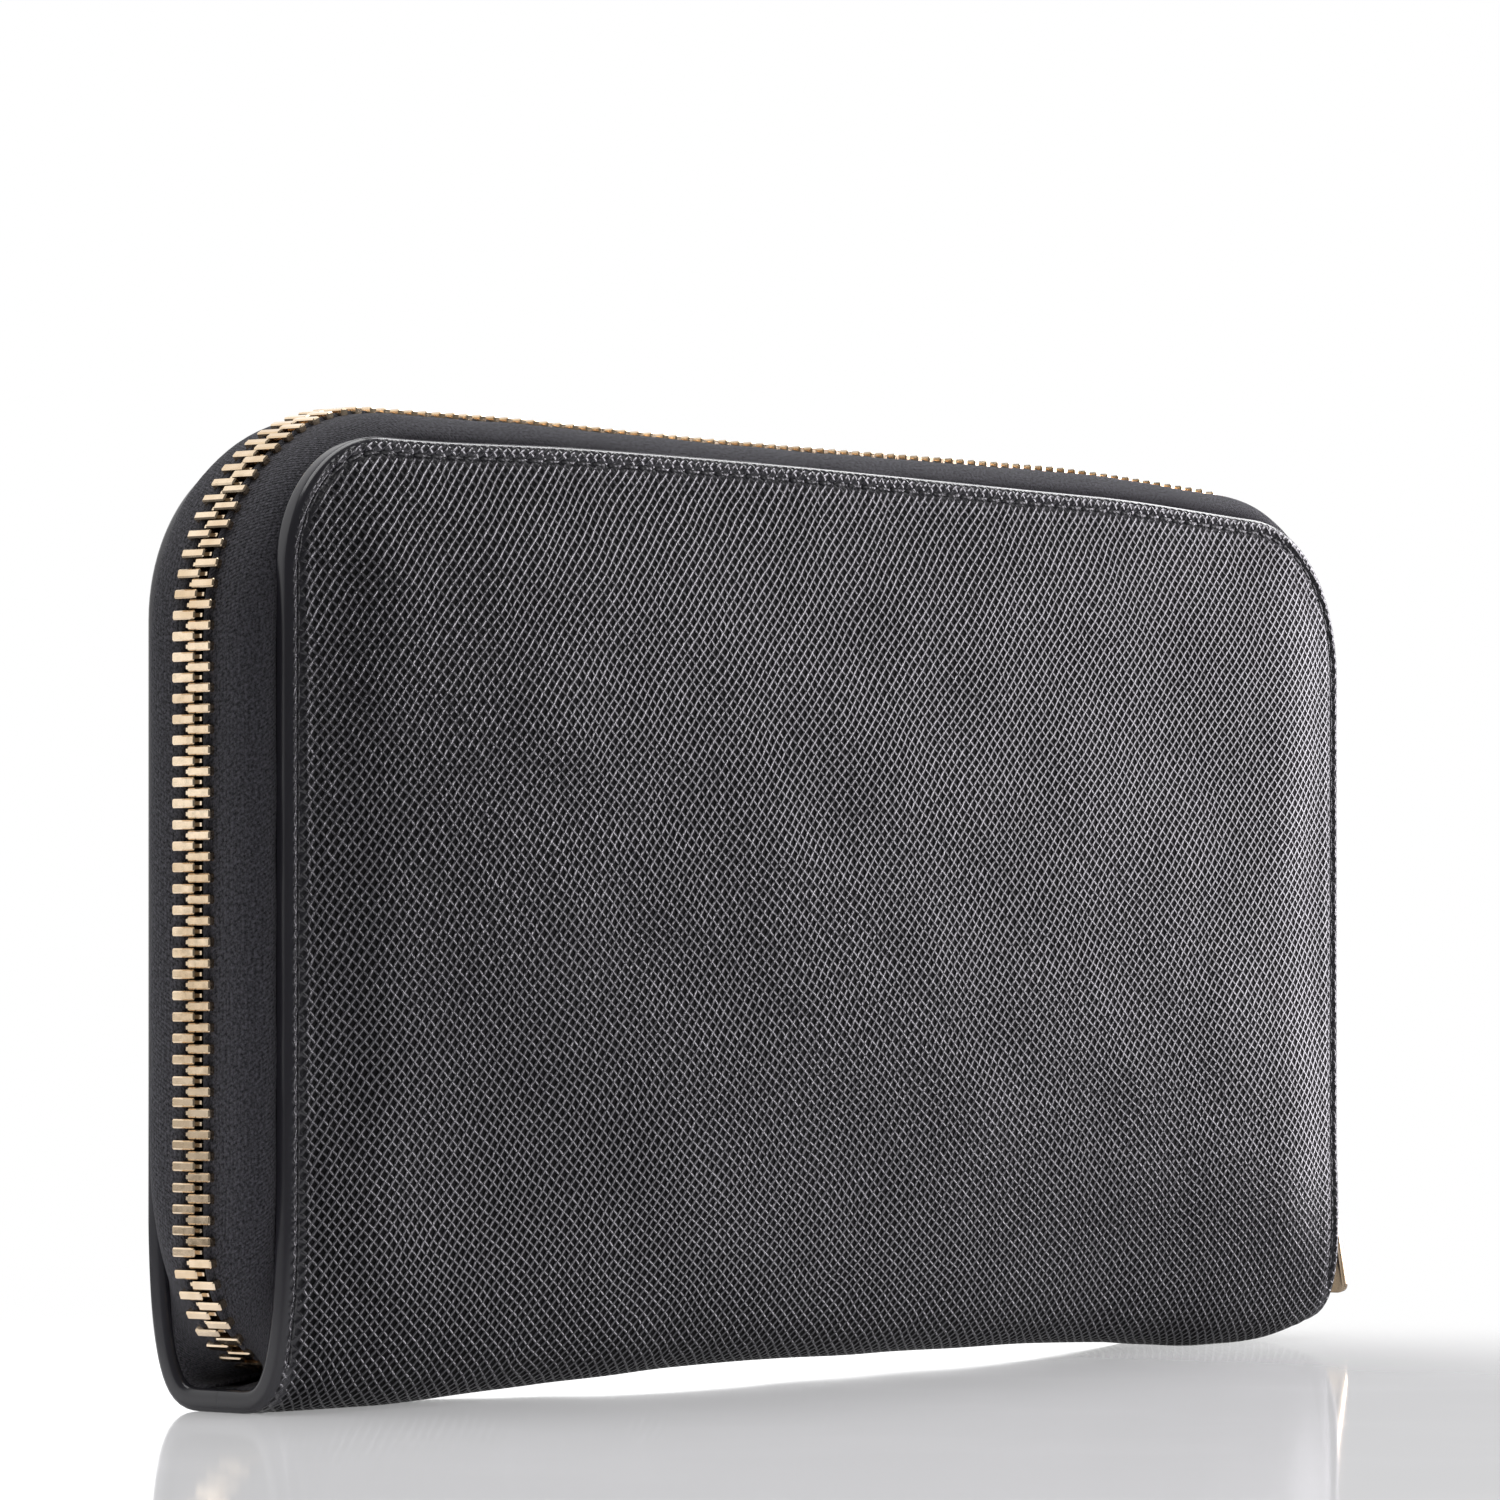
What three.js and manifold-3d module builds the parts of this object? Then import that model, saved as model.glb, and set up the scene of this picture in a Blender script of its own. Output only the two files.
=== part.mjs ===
// Zip-around wallet, standing on its spine with the zip closed.
//
// A leather wrap forms two flat covers joined by a rounded spine. A metal zip runs up the left
// end, across the top and down the right end, and each half of it is sewn to one cover. Inside,
// each cover carries a slip pocket and stepped card slots. A zipped coin pocket stands on the
// spine in the middle, and folded gussets join it to the covers at both ends.
//
// Millimetres, +Z up. The origin is the middle of the flat strip that the spine stands on,
// X runs along the wallet and the front cover faces -Y.

import * as THREE from "three";
import { mergeGeometries, mergeVertices } from "three/addons/utils/BufferGeometryUtils.js";
import Module from "manifold-3d";

const wasm = await Module();
wasm.setup();

// ---- Driving dimensions -------------------------------------------------------------------

const COVER_LENGTH = 198; // along X, from one leather edge to the other
const COVER_TOP = 105; // height of the covers' top edge above the table
const COVER_CORNER = 18; // radius of the covers' two top corners
const FOLD_HEIGHT = 20; // where a flat cover turns into the rounded spine
const FOLD_GAP = 0.8; // slit that lets a rigid cover swing clear of the rigid spine
const SPINE_FLAT = 6; // width of the strip that the wallet stands on
const SPINE_SHOULDER = 7; // height of the curve's upper handle, which sets how full the spine is
const SPINE_TOE = 6.8; // reach of the curve's lower handle from the middle

const LEATHER = 1.1; // outer leather, also the width of its turned edge
const BOARD = 0.6; // stiffener board between leather and lining
const TAPE = 0.4; // woven zip tape
const LINING = 0.4;
const GLUE = 0.05; // glue line between two layers
const EDGE_PLAY = 0.2; // gap between the turned edge and what it surrounds

const POCKET_SKIN = 0.35; // thin leather of the slip pocket and card slots
const SLOT_GAP = 0.2; // room for one card
const CARD_TIERS = 4;
const CARD_STEP = 10; // how much of each card slot shows above the next
const CARD_SIDE = 11; // from the cover's end to the card slots
const CARD_BOTTOM = 22.5;
const SLIP_DROP = 15; // from the cover's top edge to the slip pocket's
const FIRST_TIER_DROP = 8; // from the slip pocket's top edge to the first card slot's
const SLOT_CORNER = 3; // radius of a pocket panel's upper corners

const BILL_GAP = 1.35; // room for notes between the card slots and the coin pocket
const COIN_SKIN = 0.4;
const COIN_SIDE = 15; // from the cover's end to the coin pocket
const COIN_DROP = 25.3; // from the cover's top edge to the coin pocket's
const COIN_BOTTOM = 9.5;
const KEEL_WIDTH = 1.2; // the seam that holds the coin pocket on the spine
const KEEL_SIDE = 26; // from the cover's end to that seam
const SEAT = 0.3; // clearance where one piece sits on another

const BULGE = 3.1; // how far the zip stands out beyond the covers' edges
const TAPE_MARGIN = 3; // how far the tape runs in between board and lining
const TAIL_RADIUS = 13.5; // bend where the zip turns in over the spine
const TAIL_SEAT = 0.45; // how much higher the zip's tucked-in end lies than its flat part is wide
const TAIL_RUN = 4; // straight end after that bend
const TAIL_HALF_WIDTH = 4.9; // the tape narrows to this inside the spine
const TAIL_DROP = 1.5; // and its edges lift by this
const TAIL_GAP = 0.3; // slit between the swinging tape and its fixed tail
const TAIL_TOP = 24; // height of that slit

const GUSSET_SKIN = 0.3;
const GUSSET_BOTTOM = 24;
const GUSSET_TOP_DROP = 29; // from the cover's top edge to the gusset's
const GUSSET_SIDE = 10.5; // from the cover's end to the gusset's open edge
const GUSSET_FLARE = 6; // from the cover's end to where the gusset joins the lining
const GUSSET_DEEP = 20; // depth of the fold at the top
const GUSSET_SHALLOW = 11; // and at the bottom

const ARC_STEPS = 6; // straight steps in each quarter turn

// The two zips. Widths are measured across the chain, thicknesses square to the tape.
const MAIN_ZIP = {
  pitch: 2.26, // along one row of teeth
  toothWidth: 1.0,
  halfThickness: 1.0,
  rowOuter: 2.85, // from the zip's middle to a row's outer side
  rowInner: 1.5, // and to its inner side, where the teeth stand out
  toothReach: 0.55, // past the middle, into the other row
  play: 0.3, // between the chain and the slider
  sliderLength: 11,
  plate: 1.0,
  flange: 1.0,
  slot: 0.5, // half height of the slot that the tape runs in
  neckHalf: 0.9,
  bridgeHalf: 3.6,
  bridgeWidth: 1.8,
  bridgeRise: 3.0,
  bridgeSkin: 0.8,
  pivotRise: 1.15, // from the top plate to the pull's bar
  pullLength: 25.2,
  pullThickness: 1.2,
  pullTop: 2.5, // half widths of the pull's two ends
  pullEnd: 3.5,
  windowHalf: 1.5,
  windowEnd: 5.4,
};
const COIN_ZIP = {
  pitch: 2.0,
  toothWidth: 0.88,
  halfThickness: 0.8,
  rowOuter: 2.1,
  rowInner: 1.1,
  toothReach: 0.45,
  play: 0.25,
  sliderLength: 8,
  plate: 0.75,
  flange: 0.5,
  slot: 0.45,
  neckHalf: 0.7,
  bridgeHalf: 2.9,
  bridgeWidth: 1.3,
  bridgeRise: 2.5,
  bridgeSkin: 0.65,
  pivotRise: 0.95,
  pullLength: 15,
  pullThickness: 1.0,
  pullTop: 2.0,
  pullEnd: 2.6,
  windowHalf: 1.1,
  windowEnd: 4.4,
};
const SLIDER_PARK = 30; // height of the main slider's middle when the zip is closed
const PULL_LEAN = 9.5; // degrees that the main pull stands off the vertical
const CHAIN_IN_SLIDER = 1; // how far past the slider's middle the closed chain reaches
const COIN_PARK = 10; // from the coin pocket's end to the parked coin slider's middle
const COIN_ZIP_INSET = 2; // from the coin pocket's end to its zip tape's end
const COIN_TAPE_FALL = 10; // how far the coin zip's tape runs down inside the pocket
const STOP_LENGTH = 1.9;

// ---- Sizes worked out from them -----------------------------------------------------------

const halfLength = COVER_LENGTH / 2;
const boardAt = LEATHER + GLUE; // depths are measured inwards from a cover's outer face
const tapeAt = boardAt + BOARD + GLUE;
const liningAt = tapeAt + TAPE + GLUE;
const coverDepth = liningAt + LINING;
const slipAt = coverDepth + SLOT_GAP;
const tierDepth = SLOT_GAP + POCKET_SKIN;
const stackDepth = slipAt + POCKET_SKIN + CARD_TIERS * tierDepth;

const coinSliderHalf = COIN_ZIP.rowOuter + COIN_ZIP.play + COIN_ZIP.flange;
const coinTapeInner = coinSliderHalf + 0.1;
const coinInner = coinTapeInner + TAPE;
const coinHalf = coinInner + COIN_SKIN;
const halfThickness = stackDepth + BILL_GAP + coinHalf; // so every layer fits by itself

const coverBottom = FOLD_HEIGHT + FOLD_GAP;
const tapeFlat = MAIN_ZIP.rowOuter + MAIN_ZIP.play + MAIN_ZIP.flange; // flat inside the slider
const tailBottom = tapeFlat + TAIL_SEAT; // a wider zip lies higher, where the spine is wider too
const zipStart = tailBottom + TAIL_RADIUS; // the straight ends of the zip begin here
const slipTop = COVER_TOP - SLIP_DROP;
const coinTop = COVER_TOP - COIN_DROP;
const coinZipLevel = coinTop + COIN_ZIP.halfThickness + COIN_ZIP.play + COIN_ZIP.plate + 0.5;
const coinLength = halfLength - COIN_SIDE;
const tapeY = halfThickness - tapeAt - TAPE / 2; // middle of the tape's sewn margin

// ---- Materials ----------------------------------------------------------------------------

function finish(color, roughness, metalness = 0) {
  return new THREE.MeshStandardMaterial({ color, roughness, metalness });
}
const embossedLeather = finish(0x1b1b1f, 0.42);
const pocketLeather = finish(0x1d1d20, 0.55);
const liningCloth = finish(0x151518, 0.85);
const zipCloth = finish(0x17181c, 0.9);
const stiffener = finish(0x8a7f70, 0.95);
const brass = finish(0xc9a165, 0.3, 1);

// ---- Making shapes ------------------------------------------------------------------------

// A closed geometry as a manifold solid, and back.
function solid(geometry) {
  const bare = geometry.index ? geometry.toNonIndexed() : geometry.clone();
  bare.deleteAttribute("normal");
  bare.deleteAttribute("uv");
  const merged = mergeVertices(bare, 1e-4);
  return new wasm.Manifold(
    new wasm.Mesh({
      numProp: 3,
      vertProperties: merged.attributes.position.array,
      triVerts: new Uint32Array(merged.index.array),
    }),
  );
}

function fromSolid(manifold) {
  const mesh = manifold.getMesh();
  return new THREE.BufferGeometry()
    .setAttribute("position", new THREE.BufferAttribute(mesh.vertProperties, 3))
    .setIndex(new THREE.BufferAttribute(mesh.triVerts, 1));
}

function join(...geometries) {
  return fromSolid(geometries.map(solid).reduce((all, next) => all.add(next)));
}

function block(x0, x1, y0, y1, z0, z1) {
  const box = new THREE.BoxGeometry(x1 - x0, y1 - y0, z1 - z0);
  return box.translate((x0 + x1) / 2, (y0 + y1) / 2, (z0 + z1) / 2);
}

// A flat piece: the shape's x and y become X and Z, and it lies between two values of Y.
function plate(shape, yLow, yHigh) {
  const options = { depth: yHigh - yLow, bevelEnabled: false, curveSegments: ARC_STEPS };
  return new THREE.ExtrudeGeometry(shape, options).rotateX(Math.PI / 2).translate(0, yHigh, 0);
}

// A closed solid through rings of points, with the outline's own plane used to fill both ends.
function loft(outlines, place) {
  const rings = outlines.map((ring) =>
    THREE.ShapeUtils.isClockWise(ring) ? [...ring].reverse() : ring,
  );
  const count = rings[0].length;
  const points = rings.flatMap((ring, j) => ring.map((point) => place(point, j)));
  const faces = [];
  for (let j = 0; j + 1 < rings.length; j++)
    for (let i = 0; i < count; i++) {
      const a = j * count + i;
      const b = j * count + ((i + 1) % count);
      faces.push(a, b, b + count, a, b + count, a + count);
    }
  const last = (rings.length - 1) * count;
  for (const [a, b, c] of THREE.ShapeUtils.triangulateShape(rings[0], [])) faces.push(a, c, b);
  for (const [a, b, c] of THREE.ShapeUtils.triangulateShape(rings.at(-1), []))
    faces.push(last + a, last + b, last + c);
  return new THREE.BufferGeometry().setFromPoints(points).setIndex(faces);
}

function points2(list) {
  return list.map(([a, b]) => new THREE.Vector2(a, b));
}

function add(parent, name, geometry, material) {
  const mesh = new THREE.Mesh(geometry, material);
  mesh.name = name;
  parent.add(mesh);
  return mesh;
}

// ---- Outlines -----------------------------------------------------------------------------

// A cover's outline, drawn in by an inset on its two ends and its top.
function coverOutline(inset) {
  const x = halfLength - inset;
  const top = COVER_TOP - inset;
  const radius = COVER_CORNER - inset;
  const shape = new THREE.Shape();
  shape.moveTo(-x, coverBottom);
  shape.lineTo(x, coverBottom);
  shape.lineTo(x, top - radius);
  shape.absarc(x - radius, top - radius, radius, 0, Math.PI / 2);
  shape.lineTo(-x + radius, top);
  shape.absarc(-x + radius, top - radius, radius, Math.PI / 2, Math.PI);
  return shape;
}

// A pocket panel with rounded upper corners.
function pocketOutline(halfWidth, bottom, top) {
  const shape = new THREE.Shape();
  shape.moveTo(-halfWidth, bottom);
  shape.lineTo(halfWidth, bottom);
  shape.lineTo(halfWidth, top - SLOT_CORNER);
  shape.absarc(halfWidth - SLOT_CORNER, top - SLOT_CORNER, SLOT_CORNER, 0, Math.PI / 2);
  shape.lineTo(-halfWidth + SLOT_CORNER, top);
  shape.absarc(-halfWidth + SLOT_CORNER, top - SLOT_CORNER, SLOT_CORNER, Math.PI / 2, Math.PI);
  return shape;
}

// ---- The zip's track ----------------------------------------------------------------------

// The track lies in the X-Z plane, at the level of the tape: in over the spine on the left,
// up, across the top, down, and in over the spine on the right.
const trackX = halfLength + BULGE;
const trackTop = COVER_TOP + BULGE;
const trackCorner = COVER_CORNER + BULGE;
const cornerX = trackX - trackCorner;
const cornerZ = trackTop - trackCorner;
const tailX = trackX - TAIL_RADIUS;
const lineBetween = (x0, z0, x1, z1) =>
  new THREE.LineCurve(new THREE.Vector2(x0, z0), new THREE.Vector2(x1, z1));
const quarterTurn = (x, z, radius, from) =>
  new THREE.EllipseCurve(x, z, radius, radius, from, from - Math.PI / 2, true);
const track = new THREE.CurvePath();
track.curves.push(
  lineBetween(-tailX + TAIL_RUN, tailBottom, -tailX, tailBottom),
  quarterTurn(-tailX, zipStart, TAIL_RADIUS, -Math.PI / 2),
  lineBetween(-trackX, zipStart, -trackX, cornerZ),
  quarterTurn(-cornerX, cornerZ, trackCorner, Math.PI),
  lineBetween(-cornerX, trackTop, cornerX, trackTop),
  quarterTurn(cornerX, cornerZ, trackCorner, Math.PI / 2),
  lineBetween(trackX, cornerZ, trackX, zipStart),
  quarterTurn(tailX, zipStart, TAIL_RADIUS, 0),
  lineBetween(tailX, tailBottom, tailX - TAIL_RUN, tailBottom),
);
const [, leftBend, , , , rightStart, rightBend, , trackEnd] = track.getCurveLengths();
const leftStart = leftBend + TAIL_TOP - zipStart; // the covers carry the zip from here
const rightEnd = rightBend - (TAIL_TOP - zipStart); // to here

function stationAt(distance) {
  const ends = track.getCurveLengths();
  const i = ends.findIndex((end) => distance <= end + 1e-6);
  const start = i ? ends[i - 1] : 0;
  const along = THREE.MathUtils.clamp((distance - start) / (ends[i] - start), 0, 1);
  const tangent = track.curves[i].getTangentAt(along);
  return {
    point: track.curves[i].getPointAt(along),
    tangent,
    outward: new THREE.Vector2(-tangent.y, tangent.x),
    distance,
  };
}

function stationsBetween(from, to) {
  const marks = [from];
  let start = 0;
  track.getCurveLengths().forEach((end, i) => {
    const steps = track.curves[i].isEllipseCurve ? ARC_STEPS : 1;
    for (let k = 0; k <= steps; k++) marks.push(start + ((end - start) * k) / steps);
    start = end;
  });
  marks.push(to);
  const kept = marks.filter((s) => s >= from && s <= to).sort((a, b) => a - b);
  return kept.filter((s, i) => i === 0 || s - kept[i - 1] > 0.01).map(stationAt);
}

// Sweeps a (y, outward) outline along the track; the outline may change from place to place.
function sweep(outlineAt, stations) {
  return loft(
    stations.map((station) => points2(outlineAt(station))),
    ({ x: y, y: out }, j) => {
      const { point, outward } = stations[j];
      return new THREE.Vector3(point.x + out * outward.x, y, point.y + out * outward.y);
    },
  );
}

// One row of teeth with the corded edge that carries them, for a straight or curved run.
// The row stands on the -Y side and its teeth reach over the middle.
function chainRow(zip, stations, teeth) {
  const h = zip.halfThickness;
  const cord = sweep(
    () => [
      [-zip.rowOuter, -h],
      [-zip.rowInner, -h],
      [-zip.rowInner, h],
      [-zip.rowOuter, h],
    ],
    stations,
  );
  const root = zip.rowInner + 0.2;
  const boxes = teeth.map(({ point, tangent, outward }) => {
    const tooth = new THREE.BoxGeometry(root + zip.toothReach, 2 * h, zip.toothWidth);
    const frame = new THREE.Matrix4().makeBasis(
      new THREE.Vector3(0, 1, 0),
      new THREE.Vector3(outward.x, 0, outward.y),
      new THREE.Vector3(tangent.x, 0, tangent.y),
    );
    return tooth
      .translate((zip.toothReach - root) / 2, 0, 0)
      .applyMatrix4(frame.setPosition(point.x, 0, point.y));
  });
  return join(cord, mergeGeometries(boxes));
}

// Teeth stand a pitch apart along the whole track, and the two rows are half a pitch out of step.
function teethBetween(from, to, step) {
  const found = [];
  const margin = MAIN_ZIP.toothWidth / 2;
  for (let k = 0; (k + step) * MAIN_ZIP.pitch < to - margin; k++) {
    const s = (k + step) * MAIN_ZIP.pitch;
    if (s > from + margin) found.push(stationAt(s));
  }
  return found;
}

function mainRow(from, to, step) {
  return chainRow(MAIN_ZIP, stationsBetween(from, to), teethBetween(from, to, step));
}

// ---- Zip tape -----------------------------------------------------------------------------

const tapeInner = MAIN_ZIP.rowOuter + 0.25;

// Half a tape across the gap: flat beside the chain, then falling away towards the cover.
function tapeSurface(edge, drop) {
  const shares = [0, 0.35, 0.6, 0.8, 1];
  return [
    [-tapeInner, 0],
    ...shares.map((share) => [-tapeFlat - share * (edge - tapeFlat), -drop * share ** 2]),
  ];
}

function sewnTapeOutline() {
  const edge = tapeY - TAPE / 2;
  const skin = tapeSurface(edge, BULGE);
  const inside = skin.map(([y, out]) => [y, out - TAPE / 2]);
  const outside = skin.map(([y, out]) => [y, out + TAPE / 2]);
  outside[outside.length - 1] = [-tapeY - TAPE / 2, -BULGE + TAPE / 2];
  const margin = [
    [-tapeY - TAPE / 2, -BULGE - TAPE_MARGIN],
    [-tapeY + TAPE / 2, -BULGE - TAPE_MARGIN],
  ];
  return [...outside, ...margin, ...inside.reverse()];
}

function tailTapeOutline(share) {
  const edge = THREE.MathUtils.lerp(tapeY - TAPE / 2, TAIL_HALF_WIDTH, share);
  const skin = tapeSurface(edge, THREE.MathUtils.lerp(BULGE, TAIL_DROP, share));
  const outside = skin.map(([y, out]) => [y, out + TAPE / 2]);
  const inside = skin.map(([y, out]) => [y, out - TAPE / 2]);
  return [...outside, ...inside.reverse()];
}

function tailTape(from, to, shareAt) {
  return sweep(({ distance }) => tailTapeOutline(shareAt(distance)), stationsBetween(from, to));
}

// ---- Sliders ------------------------------------------------------------------------------

// A slider lies along its own X with its nose at +X, and its tape's outer side is +Z.
function sliderBody(zip) {
  const half = zip.sliderLength / 2;
  const inner = zip.halfThickness + zip.play;
  const outer = inner + zip.plate;
  const flangeIn = zip.rowOuter + zip.play;
  const side = flangeIn + zip.flange;
  const shoulder = new THREE.Shape();
  shoulder.moveTo(-half, -side + 0.8);
  shoulder.lineTo(-half + 1.2, -side);
  shoulder.lineTo(half - 1.6, -side);
  shoulder.lineTo(half, -side + 1.4);
  shoulder.lineTo(half, side - 1.4);
  shoulder.lineTo(half - 1.6, side);
  shoulder.lineTo(-half + 1.2, side);
  shoulder.lineTo(-half, side - 0.8);
  const skin = () =>
    new THREE.ExtrudeGeometry(shoulder, { depth: zip.plate, bevelEnabled: false });
  const pieces = [skin().translate(0, 0, inner), skin().translate(0, 0, -outer)];
  const neckFrom = half - 3.4;
  pieces.push(block(neckFrom, half - 0.8, -zip.neckHalf, zip.neckHalf, -inner - 0.2, inner + 0.2));
  for (const up of [-1, 1])
    for (const across of [-1, 1]) {
      const z = [up * zip.slot, up * (inner + 0.2)].sort((a, b) => a - b);
      const y = [across * flangeIn, across * side].sort((a, b) => a - b);
      pieces.push(block(-half + 1.2, half - 1.6, ...y, ...z));
    }
  return join(...pieces);
}

function sliderBridge(zip) {
  const a = zip.bridgeHalf;
  const t = zip.bridgeSkin;
  const rise = zip.bridgeRise;
  const arch = new THREE.Shape(
    points2([
      [-a, 0],
      [-a + t, 0],
      [-a + t + 0.3, rise - t],
      [a - t - 0.3, rise - t],
      [a - t, 0],
      [a, 0],
      [a - 0.7, rise],
      [-a + 0.7, rise],
    ]),
  );
  const base = zip.halfThickness + zip.play + zip.plate + GLUE;
  return plate(arch, -zip.bridgeWidth / 2, zip.bridgeWidth / 2).translate(0, 0, base);
}

// The pull's bar is at its origin and its tab points along +X.
function sliderPull(zip) {
  const bar = zip.pullThickness / 2;
  const end = zip.pullLength;
  const soft = 1.2;
  const tab = new THREE.Shape();
  tab.moveTo(-bar, -zip.pullTop);
  tab.lineTo(zip.windowEnd, -zip.pullTop);
  tab.lineTo(end - soft, -zip.pullEnd);
  tab.quadraticCurveTo(end, -zip.pullEnd, end, -zip.pullEnd + soft);
  tab.lineTo(end, zip.pullEnd - soft);
  tab.quadraticCurveTo(end, zip.pullEnd, end - soft, zip.pullEnd);
  tab.lineTo(zip.windowEnd, zip.pullTop);
  tab.lineTo(-bar, zip.pullTop);
  const window = [
    [bar, -zip.windowHalf],
    [bar, zip.windowHalf],
    [zip.windowEnd, zip.windowHalf],
    [zip.windowEnd, -zip.windowHalf],
  ];
  tab.holes.push(new THREE.Path(points2(window)));
  const options = { depth: zip.pullThickness, bevelEnabled: false, curveSegments: 3 };
  return new THREE.ExtrudeGeometry(tab, options).translate(0, 0, -bar);
}

function addSlider(parent, prefix, zip, pullLean) {
  add(parent, `${prefix}_body`, sliderBody(zip), brass);
  add(parent, `${prefix}_bridge`, sliderBridge(zip), brass);
  const pull = add(parent, `${prefix}_pull`, sliderPull(zip), brass);
  pull.position.z = zip.halfThickness + zip.play + zip.plate + zip.pivotRise;
  pull.rotation.y = -THREE.MathUtils.degToRad(pullLean);
}

// ---- Covers -------------------------------------------------------------------------------

// Builds the front cover. The rear one is the same thing mirrored, with its teeth out of step.
function cover(side, toothStep) {
  const group = new THREE.Group();
  const at = (depth) => depth - halfThickness;
  const inset = LEATHER + EDGE_PLAY;

  const turnedEdge = coverOutline(0);
  turnedEdge.holes.push(new THREE.Path(coverOutline(LEATHER).getPoints(ARC_STEPS)));
  const rim = new THREE.Shape(coverOutline(0).getPoints(ARC_STEPS));
  const edgeFloor = coverOutline(LEATHER);
  const tray = solid(plate(rim, at(0), at(boardAt + BOARD)));
  const hollow = solid(plate(edgeFloor, at(LEATHER), at(boardAt + BOARD + 1)));
  const slitEnd = halfLength - LEATHER;
  const slit = solid(
    block(-slitEnd, slitEnd, at(LEATHER), at(boardAt + BOARD + 1), 0, coverBottom + 1),
  );
  const leather = fromSolid(tray.subtract(hollow).subtract(slit));
  const board = plate(coverOutline(inset), at(boardAt), at(boardAt + BOARD));
  const lining = plate(coverOutline(inset), at(liningAt), at(coverDepth));
  add(group, `${side}_cover_leather`, leather, embossedLeather);
  add(group, `${side}_cover_board`, board, stiffener);
  add(group, `${side}_cover_lining`, lining, liningCloth);

  const slots = halfLength - CARD_SIDE;
  const slip = pocketOutline(slots, CARD_BOTTOM, slipTop);
  add(group, `${side}_slip_pocket`, plate(slip, at(slipAt), at(slipAt + POCKET_SKIN)), pocketLeather);
  for (let tier = 1; tier <= CARD_TIERS; tier++) {
    const top = slipTop - FIRST_TIER_DROP - (tier - 1) * CARD_STEP;
    const depth = slipAt + tier * tierDepth;
    const panel = plate(pocketOutline(slots, CARD_BOTTOM, top), at(depth), at(depth + POCKET_SKIN));
    add(group, `${side}_card_slot_${tier}`, panel, pocketLeather);
  }

  add(group, `${side}_zip_tape`, sweep(sewnTapeOutline, stationsBetween(leftStart, rightEnd)), zipCloth);
  add(group, `${side}_teeth`, mainRow(leftStart, rightStart - 0.15, toothStep), brass);
  const closedEnd = rightEnd - (SLIDER_PARK - CHAIN_IN_SLIDER - TAIL_TOP);
  add(group, `${side}_teeth_right_end`, mainRow(rightStart + 0.15, closedEnd, toothStep), brass);
  return group;
}

// ---- Spine --------------------------------------------------------------------------------

// Points down one side of the spine, moved in square to the curve by an offset.
function spineSide(offset) {
  const curve = new THREE.CubicBezierCurve(
    new THREE.Vector2(halfThickness, FOLD_HEIGHT),
    new THREE.Vector2(halfThickness - 0.3, SPINE_SHOULDER),
    new THREE.Vector2(SPINE_TOE, 0),
    new THREE.Vector2(SPINE_FLAT / 2, 0),
  );
  const steps = 2 * ARC_STEPS;
  return Array.from({ length: steps + 1 }, (_, i) => {
    const point = curve.getPoint(i / steps);
    const tangent = curve.getTangent(i / steps);
    if (i === 0) tangent.set(0, -1); // the top edge stays level where it meets a cover
    return point.add(new THREE.Vector2(tangent.y, -tangent.x).multiplyScalar(offset));
  });
}

function spineLayer(from, to, inset) {
  const mirrored = (side) => side.map(({ x, y }) => new THREE.Vector2(-x, y)).reverse();
  const outer = spineSide(from);
  const inner = spineSide(to);
  const outline = [...outer, ...mirrored(outer), ...mirrored(inner).reverse(), ...inner.reverse()];
  const ends = [-halfLength + inset, halfLength - inset];
  return loft([outline, outline], ({ x: y, y: z }, j) => new THREE.Vector3(ends[j], y, z));
}

function spine() {
  const group = new THREE.Group();
  add(group, "spine_leather", spineLayer(0, LEATHER, 0), embossedLeather);
  add(group, "spine_board", spineLayer(boardAt, boardAt + BOARD, EDGE_PLAY), stiffener);
  add(group, "spine_lining", spineLayer(tapeAt, coverDepth, EDGE_PLAY), liningCloth);
  return group;
}

// ---- What is tucked in over the spine -----------------------------------------------------

function tucked(side, toothStep) {
  const group = new THREE.Group();
  const left = leftStart - TAIL_GAP;
  const right = rightEnd + TAIL_GAP;
  const leftShare = (s) => (leftStart - s) / leftStart;
  const rightShare = (s) => (s - rightEnd) / (trackEnd - rightEnd);
  add(group, `${side}_tape_tail_left`, tailTape(0, left, leftShare), zipCloth);
  add(group, `${side}_tape_tail_right`, tailTape(right, trackEnd, rightShare), zipCloth);
  add(group, `${side}_teeth_tail`, mainRow(0, left, toothStep), brass);

  const { sliderLength, rowOuter, rowInner, halfThickness: h } = MAIN_ZIP;
  const nose = SLIDER_PARK - sliderLength / 2 - SEAT;
  const x = [trackX + TAPE / 2 + 0.1, trackX + h + 0.5];
  const stop = block(...x, -rowOuter, -rowInner + 0.5, nose - STOP_LENGTH, nose);
  add(group, `${side}_top_stop`, stop, brass);
  return group;
}

function bottomStop() {
  const { rowOuter, halfThickness: h } = MAIN_ZIP;
  const start = -tailX + TAIL_RUN + SEAT;
  return block(start, start + STOP_LENGTH, -rowOuter, rowOuter, tailBottom - h, tailBottom + h);
}

// ---- Coin pocket --------------------------------------------------------------------------

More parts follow.
